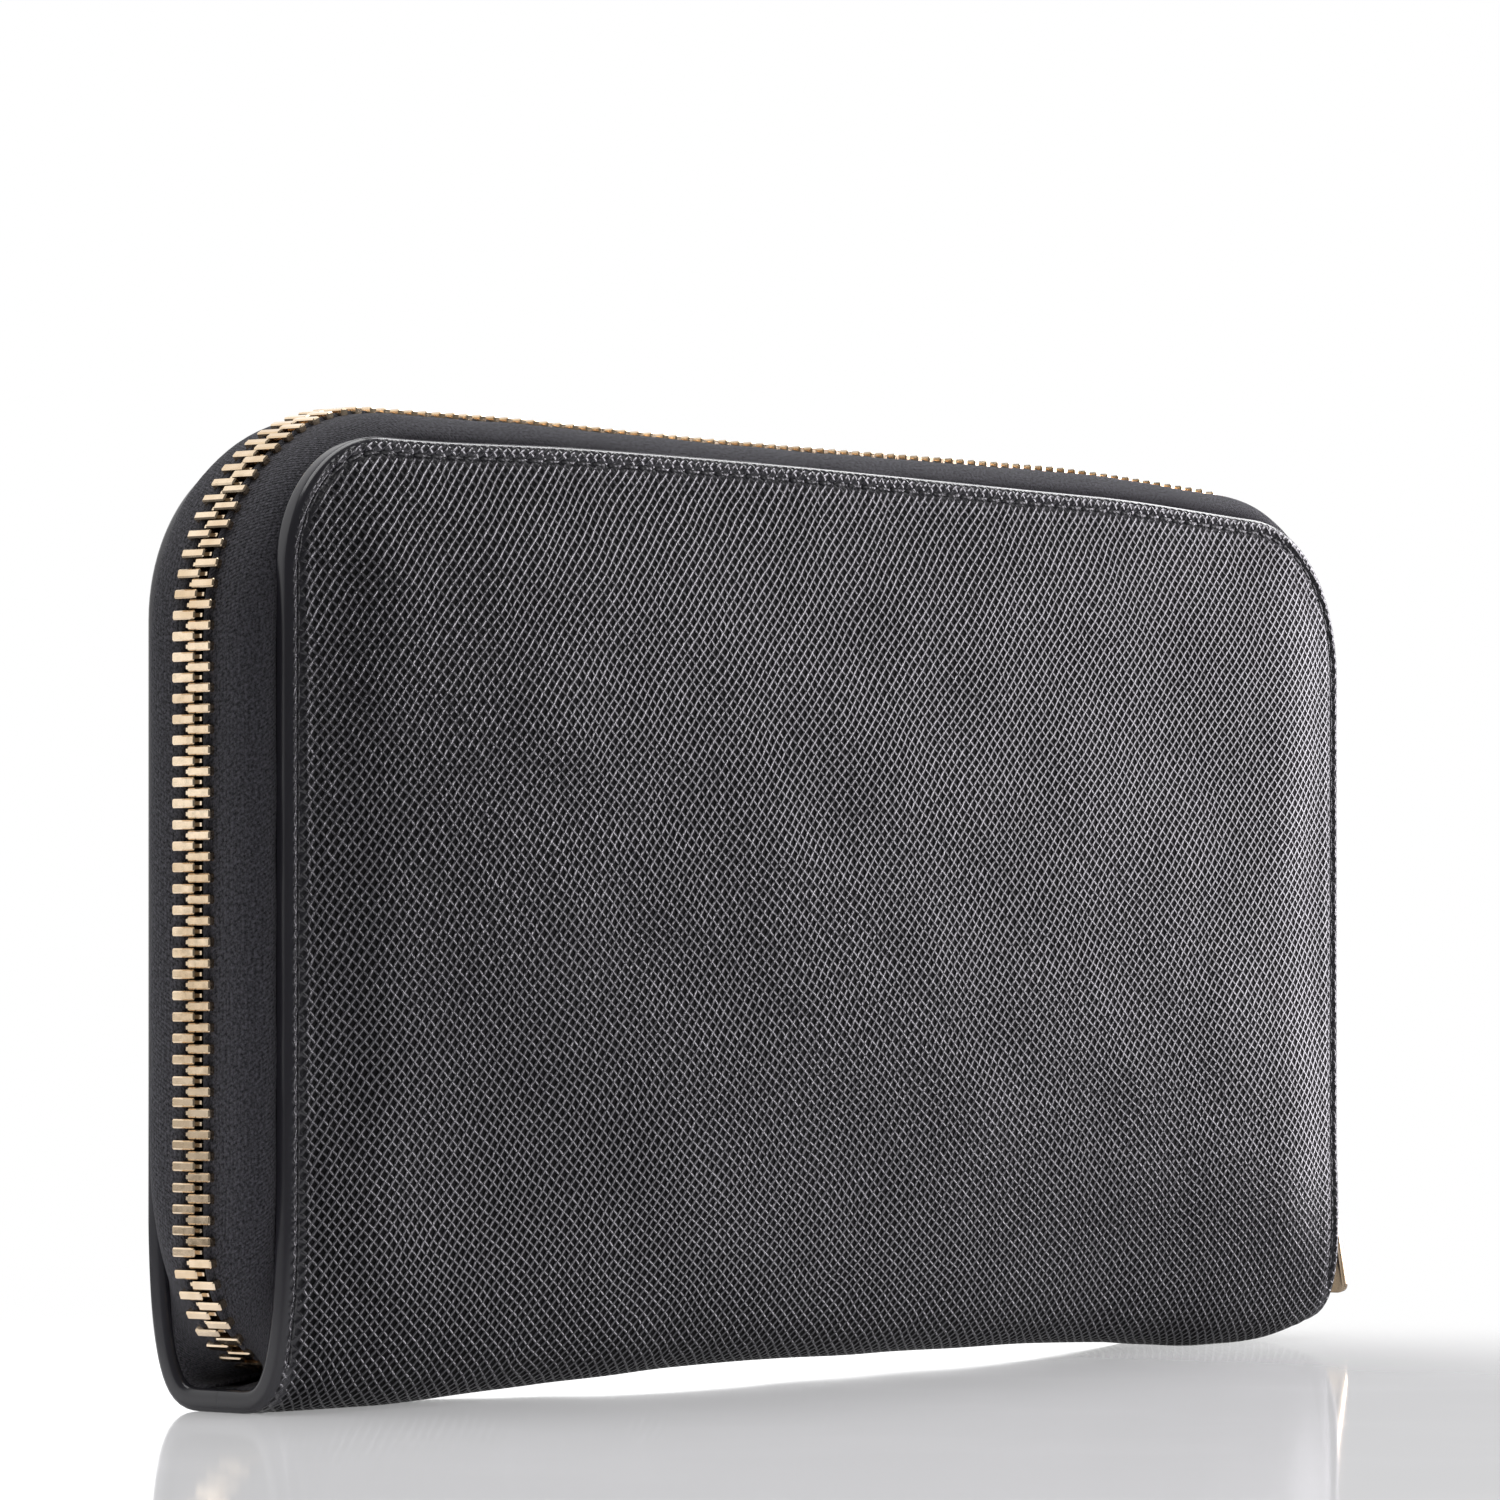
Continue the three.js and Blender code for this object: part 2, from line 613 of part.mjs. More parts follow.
function coinHalfPocket(side, toothStep) {
  const group = new THREE.Group();
  const zipHalf = coinLength - COIN_ZIP_INSET;
  const wall = pocketOutline(coinLength, COIN_BOTTOM, coinTop);
  add(group, `${side}_coin_panel`, plate(wall, -coinHalf, -coinInner), pocketLeather);

  const outside = -coinInner + GLUE;
  const inside = -coinTapeInner;
  const low = coinTop - COIN_TAPE_FALL;
  const flatFrom = -COIN_ZIP.rowOuter - 0.15;
  const t = TAPE / 2;
  const fold = new THREE.Shape(
    points2([
      [outside, low],
      [inside, low],
      [inside, coinZipLevel - t],
      [flatFrom, coinZipLevel - t],
      [flatFrom, coinZipLevel + t],
      [outside, coinZipLevel + t],
    ]),
  ).getPoints();
  const ends = [-zipHalf, zipHalf];
  const tape = loft([fold, fold], ({ x: y, y: z }, j) => new THREE.Vector3(ends[j], y, z));
  add(group, `${side}_coin_zip_tape`, tape, zipCloth);

  const { pitch } = COIN_ZIP;
  const reach = coinLength - COIN_PARK + CHAIN_IN_SLIDER;
  const straight = (x) => ({
    point: new THREE.Vector2(x, coinZipLevel),
    tangent: new THREE.Vector2(1, 0),
    outward: new THREE.Vector2(0, 1),
  });
  const teeth = [];
  for (let x = -zipHalf + (1 + toothStep) * pitch; x < reach - pitch / 2; x += pitch)
    teeth.push(straight(x));
  const row = chainRow(COIN_ZIP, [straight(-zipHalf), straight(reach)], teeth);
  add(group, `${side}_coin_teeth`, row, brass);
  return group;
}

function coinPocket() {
  const group = new THREE.Group();
  const inner = coinInner - GLUE;
  const floor = block(-coinLength, coinLength, -inner, inner, COIN_BOTTOM, COIN_BOTTOM + COIN_SKIN);
  add(group, "coin_pocket_floor", floor, pocketLeather);
  const sideTop = coinTop - COIN_TAPE_FALL - SEAT;
  for (const [name, sign] of [
    ["left", -1],
    ["right", 1],
  ]) {
    const x = [sign * coinLength, sign * (coinLength - COIN_SKIN)].sort((a, b) => a - b);
    const strip = block(...x, -inner, inner, COIN_BOTTOM + COIN_SKIN + GLUE, sideTop);
    add(group, `coin_pocket_${name}_side`, strip, pocketLeather);
  }
  const keelX = halfLength - KEEL_SIDE;
  const keelY = KEEL_WIDTH / 2;
  const keel = block(-keelX, keelX, -keelY, keelY, coverDepth + SEAT, COIN_BOTTOM - GLUE);
  add(group, "coin_pocket_keel", keel, pocketLeather);
  const zipHalf = coinLength - COIN_ZIP_INSET;
  const { halfThickness: h, rowOuter } = COIN_ZIP;
  const x = [-zipHalf - SEAT - STOP_LENGTH / 2, -zipHalf - SEAT];
  const stop = block(...x, -rowOuter, rowOuter, coinZipLevel - h, coinZipLevel + h);
  add(group, "coin_zip_stop", stop, brass);
  return group;
}

// ---- Gussets ------------------------------------------------------------------------------

// A V-folded strip between coin pocket and cover, at the left end of the front side.
function gusset() {
  const open = -halfLength + GUSSET_SIDE;
  const sewn = -halfLength + GUSSET_FLARE;
  const near = coinHalf + GLUE;
  const far = halfThickness - stackDepth - GLUE;
  const middle = (near + far) / 2;
  const lining = halfThickness - coverDepth - GLUE;
  const t = GUSSET_SKIN;
  const outline = (depth) => [
    [open, -near],
    [open + depth, -middle + t / 2],
    [open + depth, -middle - t / 2],
    [open, -far],
    [sewn, -lining],
    [sewn - t, -lining],
    [open - t, -far + t],
    [open + depth / 3, -middle],
    [open, -near - t],
  ];
  const heights = [GUSSET_BOTTOM, COVER_TOP - GUSSET_TOP_DROP];
  const rings = [GUSSET_SHALLOW, GUSSET_DEEP].map((depth) => points2(outline(depth)));
  return loft(rings, ({ x, y }, j) => new THREE.Vector3(x, y, heights[j]));
}

// ---- Assembly -----------------------------------------------------------------------------

const wallet = new THREE.Group();
wallet.add(spine(), coinPocket());

for (const [side, mirror, step] of [
  ["front", 1, 0.25],
  ["rear", -1, 0.75],
]) {
  const half = new THREE.Group();
  half.scale.y = mirror;
  half.add(cover(side, step), tucked(side, step), coinHalfPocket(side, step));
  for (const [end, flip] of [
    ["left", 1],
    ["right", -1],
  ]) {
    const turned = new THREE.Group();
    turned.scale.x = flip;
    add(turned, `${side}_${end}_gusset`, gusset(), pocketLeather);
    half.add(turned);
  }
  wallet.add(half);
}
add(wallet, "bottom_stop", bottomStop(), brass);

const mainSlider = new THREE.Group();
addSlider(mainSlider, "slider", MAIN_ZIP, PULL_LEAN);
mainSlider.rotation.y = Math.PI / 2; // nose down, pull on the outside
mainSlider.position.set(trackX, 0, SLIDER_PARK);
wallet.add(mainSlider);

const coinSlider = new THREE.Group();
addSlider(coinSlider, "coin_slider", COIN_ZIP, 0);
coinSlider.position.set(coinLength - COIN_PARK, 0, coinZipLevel);
wallet.add(coinSlider);

export default wallet;
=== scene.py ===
import bisect
import math

import bmesh
import bpy
from mathutils import Matrix, Vector, geometry, noise


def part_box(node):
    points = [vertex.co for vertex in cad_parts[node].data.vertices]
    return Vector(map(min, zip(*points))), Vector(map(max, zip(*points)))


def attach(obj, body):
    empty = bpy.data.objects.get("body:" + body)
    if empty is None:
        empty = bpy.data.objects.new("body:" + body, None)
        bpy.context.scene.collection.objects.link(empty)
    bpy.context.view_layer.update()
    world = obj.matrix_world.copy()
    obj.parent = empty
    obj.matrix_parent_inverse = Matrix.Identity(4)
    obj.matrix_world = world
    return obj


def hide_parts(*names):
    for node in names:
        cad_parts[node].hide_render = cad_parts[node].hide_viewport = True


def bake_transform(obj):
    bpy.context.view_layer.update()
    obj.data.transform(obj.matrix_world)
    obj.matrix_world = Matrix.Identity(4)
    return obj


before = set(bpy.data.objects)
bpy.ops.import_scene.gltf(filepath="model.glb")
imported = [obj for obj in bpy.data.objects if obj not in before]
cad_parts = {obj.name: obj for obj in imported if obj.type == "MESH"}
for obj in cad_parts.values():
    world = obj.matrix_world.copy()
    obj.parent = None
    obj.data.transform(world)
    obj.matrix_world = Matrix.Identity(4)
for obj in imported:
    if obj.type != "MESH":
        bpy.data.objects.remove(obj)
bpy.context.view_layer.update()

# Zip-around wallet, standing on its spine. Shapes are worked out in millimetres and turned into
# metres when a mesh is finished. Everything is made for the front half, and the rear half is the
# same shape mirrored.

MM = 0.001


# ---- Sizes that come from the frame ---------------------------------------------------------

def span(node):
    low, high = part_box(node)
    return Vector(low) / MM, Vector(high) / MM


cover_low, cover_high = span("front_cover_leather")
END = cover_high.x
TOP = cover_high.z
FACE = -cover_low.y
FOLD = span("spine_leather")[1].z
LINING_DEPTH = FACE + span("front_cover_lining")[0].y
BOARD_DEPTH = FACE + span("front_cover_board")[0].y
TOOTH_RISE = 1.0
TRACK_X = -span("front_teeth")[0].x - TOOTH_RISE
TRACK_TOP = span("front_teeth")[1].z - TOOTH_RISE
coin_low, coin_high = span("front_coin_panel")
SLIDER_FOOT = span("slider_body")[0].z
SLIDER_MIDDLE = (SLIDER_FOOT + span("slider_body")[1].z) / 2
COIN_ZIP_LEVEL = (span("coin_slider_body")[0].z + span("coin_slider_body")[1].z) / 2

# ---- Sizes chosen here ----------------------------------------------------------------------

CORNERS = {"front": (15.0, 20.0), "rear": (20.0, 20.0)}
WIDEST_CORNER = 20.0
ZIP_CORNERS = (25.0, 24.0)
# The spine's curve: half of the strip that it stands on, then the reach and height of its handles.
SPINE_FLAT = 3.0
SPINE_TOE = 7.6
SPINE_SHOULDER = 2.6
RIM_WIDTH = 2.5
RIM_ROUND = 0.75
STITCH_INSET = 1.7
STITCH_PITCH = 2.7
SEAM_LOW = 11.5
CROWN = 0.9
# The zip's ends turn in over the spine.
TAIL_RADIUS = 13.5
TAIL_BOTTOM = 4.6
TAIL_RUN = 4.0
PITCH = 2.26
COIN_PITCH = 2.0
# The gussets open this far in from a cover's end, between the coin pocket's face and the fan's back.
GUSSET_INSET = 10.5
COIN_FACE = 3.85
FAN_BACK = 5.02


def smooth(value):
    value = min(max(value, 0.0), 1.0)
    return value * value * (3 - 2 * value)


def mix(a, b, share):
    return a + (b - a) * share


def steps(start, end, spacing):
    """Evenly spaced values from start to end, both included."""
    count = max(1, round(abs(end - start) / spacing))
    return [mix(start, end, i / count) for i in range(count + 1)]


# ---- Camera, light and floor ----------------------------------------------------------------

def make_camera():
    data = bpy.data.cameras.new("camera")
    data.lens = 165.3
    data.sensor_width = 36
    data.shift_y = 0.143
    data.clip_start = 0.01
    camera = bpy.data.objects.new("camera", data)
    camera.location = (-0.6323, -0.5032, 0.0476)
    camera.rotation_euler = (math.pi / 2, 0, -math.atan2(0.778, 0.628))
    bpy.context.scene.collection.objects.link(camera)
    bpy.context.scene.camera = camera


def softbox(name, place, target, size, watts, color=(1, 1, 1)):
    data = bpy.data.lights.new(name, "AREA")
    data.shape = "RECTANGLE"
    data.size, data.size_y = size
    data.energy = watts
    data.color = color
    lamp = bpy.data.objects.new(name, data)
    lamp.location = place
    direction = Vector(target) - Vector(place)
    lamp.rotation_euler = direction.to_track_quat("-Z", "Y").to_euler()
    lamp.visible_camera = False
    bpy.context.scene.collection.objects.link(lamp)
    return lamp


def make_light():
    world = bpy.data.worlds.new("studio")
    world.use_nodes = True
    nodes, links = world.node_tree.nodes, world.node_tree.links
    background = nodes["Background"]
    background.inputs["Color"].default_value = (1, 1, 1, 1)
    background.inputs["Strength"].default_value = 0.16
    seen = nodes.new("ShaderNodeBackground")
    seen.inputs["Color"].default_value = (1, 1, 1, 1)
    path = nodes.new("ShaderNodeLightPath")
    either = nodes.new("ShaderNodeMixShader")
    links.new(path.outputs["Is Camera Ray"], either.inputs[0])
    links.new(background.outputs[0], either.inputs[1])
    links.new(seen.outputs[0], either.inputs[2])
    links.new(either.outputs[0], nodes["World Output"].inputs["Surface"])
    bpy.context.scene.world = world
    bpy.context.scene.view_settings.view_transform = "Standard"
    softbox("back_wall", (0.0, 1.0, 0.7), (0, 0, 0.7), (3.0, 1.4), 15)
    softbox("overhead", (0.0, 0.1, 0.8), (0, 0, 0.05), (0.9, 0.5), 5)
    softbox("high_front", (0.3, -0.62, 0.5), (0, 0, 0.06), (0.4, 0.2), 1)
    softbox("side_card", (0.42, -0.10, 0.1), (0.07, -0.01, 0.06), (0.32, 0.26), 1.9, (0.97, 0.93, 1.0))
    softbox("rim_strip", (0.36, 0.03, 0.38), (0, -0.01, 0.1), (0.12, 0.3), 0.8)


def make_floor():
    bm = bmesh.new()
    bmesh.ops.create_grid(bm, x_segments=2, y_segments=2, size=3.0)
    mesh = bpy.data.meshes.new("floor")
    bm.to_mesh(mesh)
    bm.free()
    floor = bpy.data.objects.new("floor", mesh)
    bpy.context.scene.collection.objects.link(floor)
    floor.data.materials.append(gloss_board())


# ---- Finishes -------------------------------------------------------------------------------

class Finish:
    """A material being mixed: add() puts in a node and wires its inputs."""

    def __init__(self, name, color, roughness, metallic=0.0):
        self.material = bpy.data.materials.new(name)
        self.material.use_nodes = True
        self.tree = self.material.node_tree
        self.shader = self.tree.nodes["Principled BSDF"]
        self.shader.inputs["Base Color"].default_value = (*color, 1)
        self.shader.inputs["Roughness"].default_value = roughness
        self.shader.inputs["Metallic"].default_value = metallic

    def add(self, kind, inputs, output=0, **settings):
        node = self.tree.nodes.new("ShaderNode" + kind)
        for key, value in settings.items():
            setattr(node, key, value)
        for key, value in inputs.items():
            self.feed(node.inputs[key], value)
        return node.outputs[output]

    def feed(self, socket, value):
        if isinstance(value, bpy.types.NodeSocket):
            self.tree.links.new(value, socket)
        else:
            socket.default_value = value

    def math(self, operation, a, b=0.0):
        return self.add("Math", {0: a, 1: b}, operation=operation)

    def ramp(self, value, low, high, to_low=0.0, to_high=1.0):
        """A soft step: value from low to high becomes to_low to to_high."""
        inputs = {"Value": value, "From Min": low, "From Max": high, "To Min": to_low, "To Max": to_high}
        return self.add("MapRange", inputs, interpolation_type="SMOOTHSTEP")

    def place(self):
        return self.add("TexCoord", {}, "Object")

    def cloth(self, scale_u, scale_v, turn=0.0):
        """The piece's own UV map in millimetres, scaled: one unit is one repeat."""
        inputs = {"Vector": self.add("UVMap", {}, uv_map="cloth"), "Scale": (scale_u, scale_v, 1),
                  "Rotation": (0, 0, turn)}
        return self.add("Mapping", inputs)

    def noise(self, vector, scale, detail=3.0, roughness=0.55):
        inputs = {"Vector": vector, "Scale": scale, "Detail": detail, "Roughness": roughness}
        return self.add("TexNoise", inputs, "Fac")

    def blend_colors(self, share, first, second):
        return self.add("Mix", {0: share, 6: (*first, 1), 7: (*second, 1)}, 2, data_type="RGBA")

    def set(self, name, value):
        self.feed(self.shader.inputs[name], value)

    def bump(self, height, distance, strength=1.0):
        inputs = {"Height": height, "Distance": distance * MM, "Strength": strength}
        self.set("Normal", self.add("Bump", inputs))
        return self.material


def embossed_leather():
    """Black calf with a pressed cross-hatch: two sets of shining ridges over pits. The pits carry painted
    shade: their colour is darkened and made metallic black, so that they reflect almost nothing.
    """
    hide = Finish("embossed_black_leather", (0.011, 0.011, 0.013), 0.4)
    cloth = hide.cloth(1, 1)
    drift = hide.add("TexNoise", {"Vector": cloth, "Scale": 0.07, "Detail": 2.0}, "Color")
    waver = hide.add("TexNoise", {"Vector": cloth, "Scale": 0.5, "Detail": 1.0}, "Color")
    moved = hide.add("VectorMath", {0: drift, 1: (1.8, 1.8, 1.8), 2: cloth}, operation="MULTIPLY_ADD")
    moved = hide.add("VectorMath", {0: waver, 1: (0.14, 0.14, 0.14), 2: moved}, operation="MULTIPLY_ADD")
    ridges = []
    for per_u, per_v, width in ((1 / 1.37, -1 / 1.54, 0.36), (1 / 1.7, 1 / 1.26, 0.29)):
        phase = hide.add("VectorMath", {0: moved, 1: (per_u, per_v, 0)}, "Value", operation="DOT_PRODUCT")
        ridges.append(hide.ramp(hide.math("PINGPONG", phase, 0.5), 0.02, width, 1.0, 0.0))
    hatch = hide.math("MAXIMUM", ridges[0], hide.math("MULTIPLY", ridges[1], 0.85))
    uneven = hide.ramp(hide.noise(cloth, 0.9, 3.0), 0.3, 0.7, 0.72, 1.0)
    pressed = hide.add("Attribute", {}, "Fac", attribute_name="emboss")
    raised = hide.math("MULTIPLY", hatch, uneven)
    height = hide.math("MULTIPLY", raised, pressed)
    pits = hide.math("MULTIPLY", hide.math("SUBTRACT", 1.0, raised), pressed)
    grain = hide.math("MULTIPLY", hide.noise(cloth, 6.0, 3.0), 0.018)
    # Painted shade in the pits: a darker base colour here and, below, a metallic finish over that
    # near-black colour, so the pits reflect almost nothing, standing in for the shade inside them.
    painted_pit_shade = hide.add("MapRange", {"Value": pits, "From Min": 0.15, "From Max": 0.8})
    hide.set("Base Color", hide.blend_colors(painted_pit_shade, (0.025, 0.024, 0.030), (0.0012, 0.0012, 0.0015)))
    hide.set("Metallic", hide.ramp(pits, 0.2, 0.8, 0.0, 0.9))
    worn = hide.ramp(hide.noise(cloth, 0.05, 4.0), 0.35, 0.7, -0.03, 0.05)
    hide.set("Roughness", hide.math("ADD", hide.ramp(pits, 0.15, 0.75, 0.20, 0.80), worn))
    return hide.bump(hide.math("ADD", height, grain), 0.28, 1.0)


def pocket_leather():
    """Thin smooth black leather with a fine pebbled grain."""
    hide = Finish("smooth_black_leather", (0.013, 0.013, 0.015), 0.48)
    place = hide.place()
    cells = hide.add("TexVoronoi", {"Vector": place, "Scale": 1500.0}, "Distance")
    soft = hide.noise(place, 400.0, 3.0)
    tone = hide.ramp(hide.noise(place, 60.0, 3.0), 0.3, 0.7)
    hide.set("Base Color", hide.blend_colors(tone, (0.010, 0.010, 0.012), (0.019, 0.019, 0.021)))
    hide.set("Roughness", hide.ramp(soft, 0.3, 0.7, 0.42, 0.58))
    return hide.bump(hide.math("ADD", cells, soft), 0.05, 0.6)


def woven(name, dark, light, pitch, roughness):
    """A twill cloth: slanted threads over a warp, read from the piece's own UV map."""
    cloth = Finish(name, dark, roughness)
    flat = cloth.cloth(1 / pitch, 1 / pitch)
    apart = cloth.add("SeparateXYZ", {0: flat}, "X")
    slant = cloth.math("ADD", apart, cloth.math("MULTIPLY", apart.node.outputs["Y"], 0.5))
    warp = cloth.math("PINGPONG", slant, 0.5)
    weft = cloth.math("PINGPONG", apart.node.outputs["Y"], 0.5)
    threads = cloth.math("MULTIPLY", cloth.ramp(warp, 0.02, 0.4), cloth.ramp(weft, 0.0, 0.35, 0.35, 1.0))
    fuzz = cloth.ramp(cloth.noise(cloth.cloth(1, 1), 2.4, 4.0, 0.75), 0.36, 0.66)
    lint = cloth.ramp(cloth.noise(cloth.cloth(1, 1), 3.5, 2.0), 0.66, 0.72, 0.0, 1.2)
    tone = cloth.math("ADD", cloth.math("MULTIPLY", threads, 0.15), cloth.math("MULTIPLY", fuzz, 0.8))
    tone = cloth.math("ADD", tone, lint)
    cloth.set("Base Color", cloth.blend_colors(tone, dark, light))
    cloth.shader.inputs["Sheen Weight"].default_value = 0.12
    cloth.shader.inputs["Sheen Roughness"].default_value = 0.4
    cloth.shader.inputs["Specular IOR Level"].default_value = 0.25
    return cloth.bump(cloth.math("ADD", threads, fuzz), 0.14, 1.0)


def polished_brass():
    """Pale gold brass, polished, with fine rubbing and patchy tone."""
    metal = Finish("pale_gold_brass", (0.74, 0.58, 0.40), 0.24, 1.0)
    place = metal.place()
    rub = metal.noise(place, 900.0, 4.0, 0.7)
    patch = metal.noise(place, 160.0, 3.0)
    metal.set("Roughness", metal.ramp(rub, 0.3, 0.75, 0.12, 0.26))
    tone = metal.ramp(patch, 0.3, 0.7)
    metal.set("Base Color", metal.blend_colors(tone, (0.62, 0.47, 0.31), (0.80, 0.65, 0.48)))
    return metal.bump(rub, 0.002, 0.2)


def twisted_thread():
    """Waxed black thread, twisted."""
    thread = Finish("waxed_black_thread", (0.012, 0.012, 0.014), 0.45)
    place = thread.place()
    strand = thread.add("TexWave", {"Vector": place, "Scale": 900.0, "Distortion": 2.0}, "Fac",
                        bands_direction="DIAGONAL")
    thread.set("Base Color", thread.blend_colors(strand, (0.008, 0.008, 0.01), (0.03, 0.03, 0.034)))
    return thread.bump(strand, 0.06, 0.8)


def grey_board():
    """Grey-brown fibre board, sealed inside the covers."""
    board = Finish("fibre_board", (0.25, 0.21, 0.17), 0.9)
    fibre = board.noise(board.place(), 700.0, 5.0, 0.7)
    board.set("Base Color", board.blend_colors(fibre, (0.18, 0.15, 0.12), (0.32, 0.27, 0.22)))
    return board.bump(fibre, 0.05, 0.5)


def gloss_board():
    """The pale glossy board that the wallet stands on. It fades into the white studio."""
    board = Finish("pale_gloss_board", (0.82, 0.82, 0.84), 0.06)
    haze = board.noise(board.place(), 30.0, 3.0)
    board.set("Roughness", board.ramp(haze, 0.3, 0.7, 0.05, 0.08))
    board.shader.inputs["Emission Color"].default_value = (1, 1, 1, 1)
    board.shader.inputs["Emission Strength"].default_value = 0.23
    inputs = {0: board.place(), 1: (-0.08, -0.05, 0)}
    reach = board.add("VectorMath", inputs, "Value", operation="DISTANCE")
    board.set("Alpha", board.ramp(reach, 0.11, 0.23, 1.0, 0.0))
    return board.material


# ---- Making pieces --------------------------------------------------------------------------

def finish_mesh(bm, name, material, mirror=False, soft=True):
    """Turns a millimetre bmesh into a finished piece; mirror makes it the rear one."""
    size = Matrix.Diagonal((MM, -MM if mirror else MM, MM, 1))
    bmesh.ops.transform(bm, matrix=size, verts=bm.verts)
    if mirror:
        bmesh.ops.reverse_faces(bm, faces=bm.faces)
    for face in bm.faces:
        face.smooth = soft
    mesh = bpy.data.meshes.new(name)
    bm.to_mesh(mesh)
    bm.free()
    mesh.materials.append(material)
    piece = bpy.data.objects.new(name, mesh)
    bpy.context.scene.collection.objects.link(piece)
    return piece


def lay_cloth(columns, rows, place, press=None, pattern=None):
    """A grid of quads. place(u, v) says where each crossing lies, and pattern(u, v) its UV place."""
    bm = bmesh.new()
    last_u, last_v = len(columns) - 1, len(rows) - 1
    bmesh.ops.create_grid(bm, x_segments=last_u, y_segments=last_v, size=0.5)
    cloth = bm.loops.layers.uv.new("cloth")
    emboss = bm.verts.layers.float.new("emboss")
    flat = {}
    for vert in bm.verts:
        u = columns[round((vert.co.x + 0.5) * last_u)]
        v = rows[round((vert.co.y + 0.5) * last_v)]
        flat[vert] = pattern(u, v) if pattern else (u, v)
        vert.co = place(u, v)
        vert[emboss] = press(u, v) if press else 0.0
    for face in bm.faces:
        for loop in face.loops:
            loop[cloth].uv = flat[loop.vert]
    return bm


def thicken(piece, thickness, offset=-1.0):
    solid = piece.modifiers.new("thickness", "SOLIDIFY")
    solid.thickness = thickness * MM
    solid.offset = offset


def from_node(name, node, material, width, segments=2):
    """A copy of a metal piece of the frame with its edges rounded."""
    bm = bmesh.new()
    bm.from_mesh(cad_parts[node].data)
    bmesh.ops.remove_doubles(bm, verts=bm.verts, dist=0.00002)
    bmesh.ops.dissolve_limit(bm, angle_limit=math.radians(2), verts=bm.verts, edges=bm.edges)
    bmesh.ops.scale(bm, vec=(1 / MM,) * 3, verts=bm.verts)
    sharp = [e for e in bm.edges if len(e.link_faces) == 2 and e.calc_face_angle() > math.radians(20)]
    bmesh.ops.bevel(bm, geom=sharp, offset=width, offset_type="OFFSET", segments=segments,
                    affect="EDGES", profile=0.5, material=-1, clamp_overlap=True)
    piece = finish_mesh(bm, name, material)
    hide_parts(node)
    return piece


# ---- The wrap's section and edge ------------------------------------------------------------

toe = ((SPINE_FLAT, 0), (SPINE_TOE, 0), (FACE - 0.3, SPINE_SHOULDER), (FACE, FOLD))
bend = geometry.interpolate_bezier(*(Vector((y, z, 0)) for y, z in toe), 81)
bend_runs = [0.0]
for here, there in zip(bend, bend[1:]):
    bend_runs.append(bend_runs[-1] + (there - here).length)
bend_ways = [(bend[min(i + 1, 80)] - bend[max(i - 1, 0)]).normalized() for i in range(81)]
SPINE_RUN = SPINE_FLAT + bend_runs[-1]
WRAP_RUN = SPINE_RUN + TOP - FOLD


def section(run, depth):
    """(y, z) of the wrap at a run from the middle of the spine, moved in square to it by a depth."""
    if run <= SPINE_FLAT:
        point, way = Vector((run, 0)), Vector((1, 0))
    elif run < SPINE_RUN:
        i = min(bisect.bisect_right(bend_runs, run - SPINE_FLAT) - 1, 79)
        share = (run - SPINE_FLAT - bend_runs[i]) / (bend_runs[i + 1] - bend_runs[i])
        point = bend[i].lerp(bend[i + 1], share).xy
        way = bend_ways[i].lerp(bend_ways[i + 1], share).xy.normalized()
    else:
        point, way = Vector((FACE, FOLD + run - SPINE_RUN)), Vector((0, 1))
    return -(point.x - depth * way.y), point.y + depth * way.x


def base_lift(x, run):
    """How far the spine rises clear of the table: an arch in the middle and a tuck at the right end."""
    arch = 1.9 * max(0.0, 1 - ((x + 3) / 76) ** 2)
    tuck = 2.4 * max(0.0, (x - 82) / 17) ** 2
    return (arch + tuck) * smooth(1 - run / 30)


def swell(x, run, inset):
    """How far the outer leather stands out: a padded panel, a pressed seam and a soft right end."""
    panel = smooth((inset - STITCH_INSET) / 15) * smooth((run - 4) / 26)
    puff = CROWN * panel
    seam = -0.4 * math.exp(-(((inset - STITCH_INSET) / 0.45) ** 2)) * smooth((run - SEAM_LOW + 1) / 3)
    wave = 0.5 * noise.noise(Vector((x / 38, run / 30, 0.4)))
    wave += 0.16 * noise.noise(Vector((x / 13, run / 12, 3)))
    pucker = 0.08 * math.sin(x * 2 * math.pi / STITCH_PITCH) * math.exp(-(((inset - 3.4) / 1.4) ** 2))
    return puff + seam + wave * smooth((inset - 1.5) / 8) + pucker


def nip(x, run):
    """How far the soft right end closes in. Every layer of a cover follows it."""
    return 1.0 * max(0.0, 1 - (END - x) / 15) ** 2 * smooth((run - 8) / 25)


def sag(x):
    """How far the top has settled, more so towards its two ends."""
    return 0.5 + 0.5 * smooth((-x - 50) / 30) + 1.3 * smooth((x - 45) / 45)


def crest(x):
    """The middle of the top edge: the zip dips a little there and the covers stand up to it."""
    return math.exp(-(((x + 18) / 45) ** 2))


ROUND_RUN = math.pi * RIM_ROUND / 2
FLAT_RUN = RIM_WIDTH - 2 * RIM_ROUND


def edge_profile(inset):
    """(distance in from the edge, depth) of the turned edge. Past the rim the inset runs on inside."""
    back = RIM_ROUND - inset
    if back <= 0:
        return inset, 0.0
    if back < ROUND_RUN:
        angle = back / RIM_ROUND
        return RIM_ROUND * (1 - math.sin(angle)), RIM_ROUND * (1 - math.cos(angle))
    back -= ROUND_RUN
    if back < FLAT_RUN:
        return 0.0, RIM_ROUND + back
    back -= FLAT_RUN
    if back < ROUND_RUN:
        angle = back / RIM_ROUND
        return RIM_ROUND * (1 - math.cos(angle)), RIM_WIDTH - RIM_ROUND * (1 - math.sin(angle))
    return RIM_ROUND + back - ROUND_RUN, RIM_WIDTH


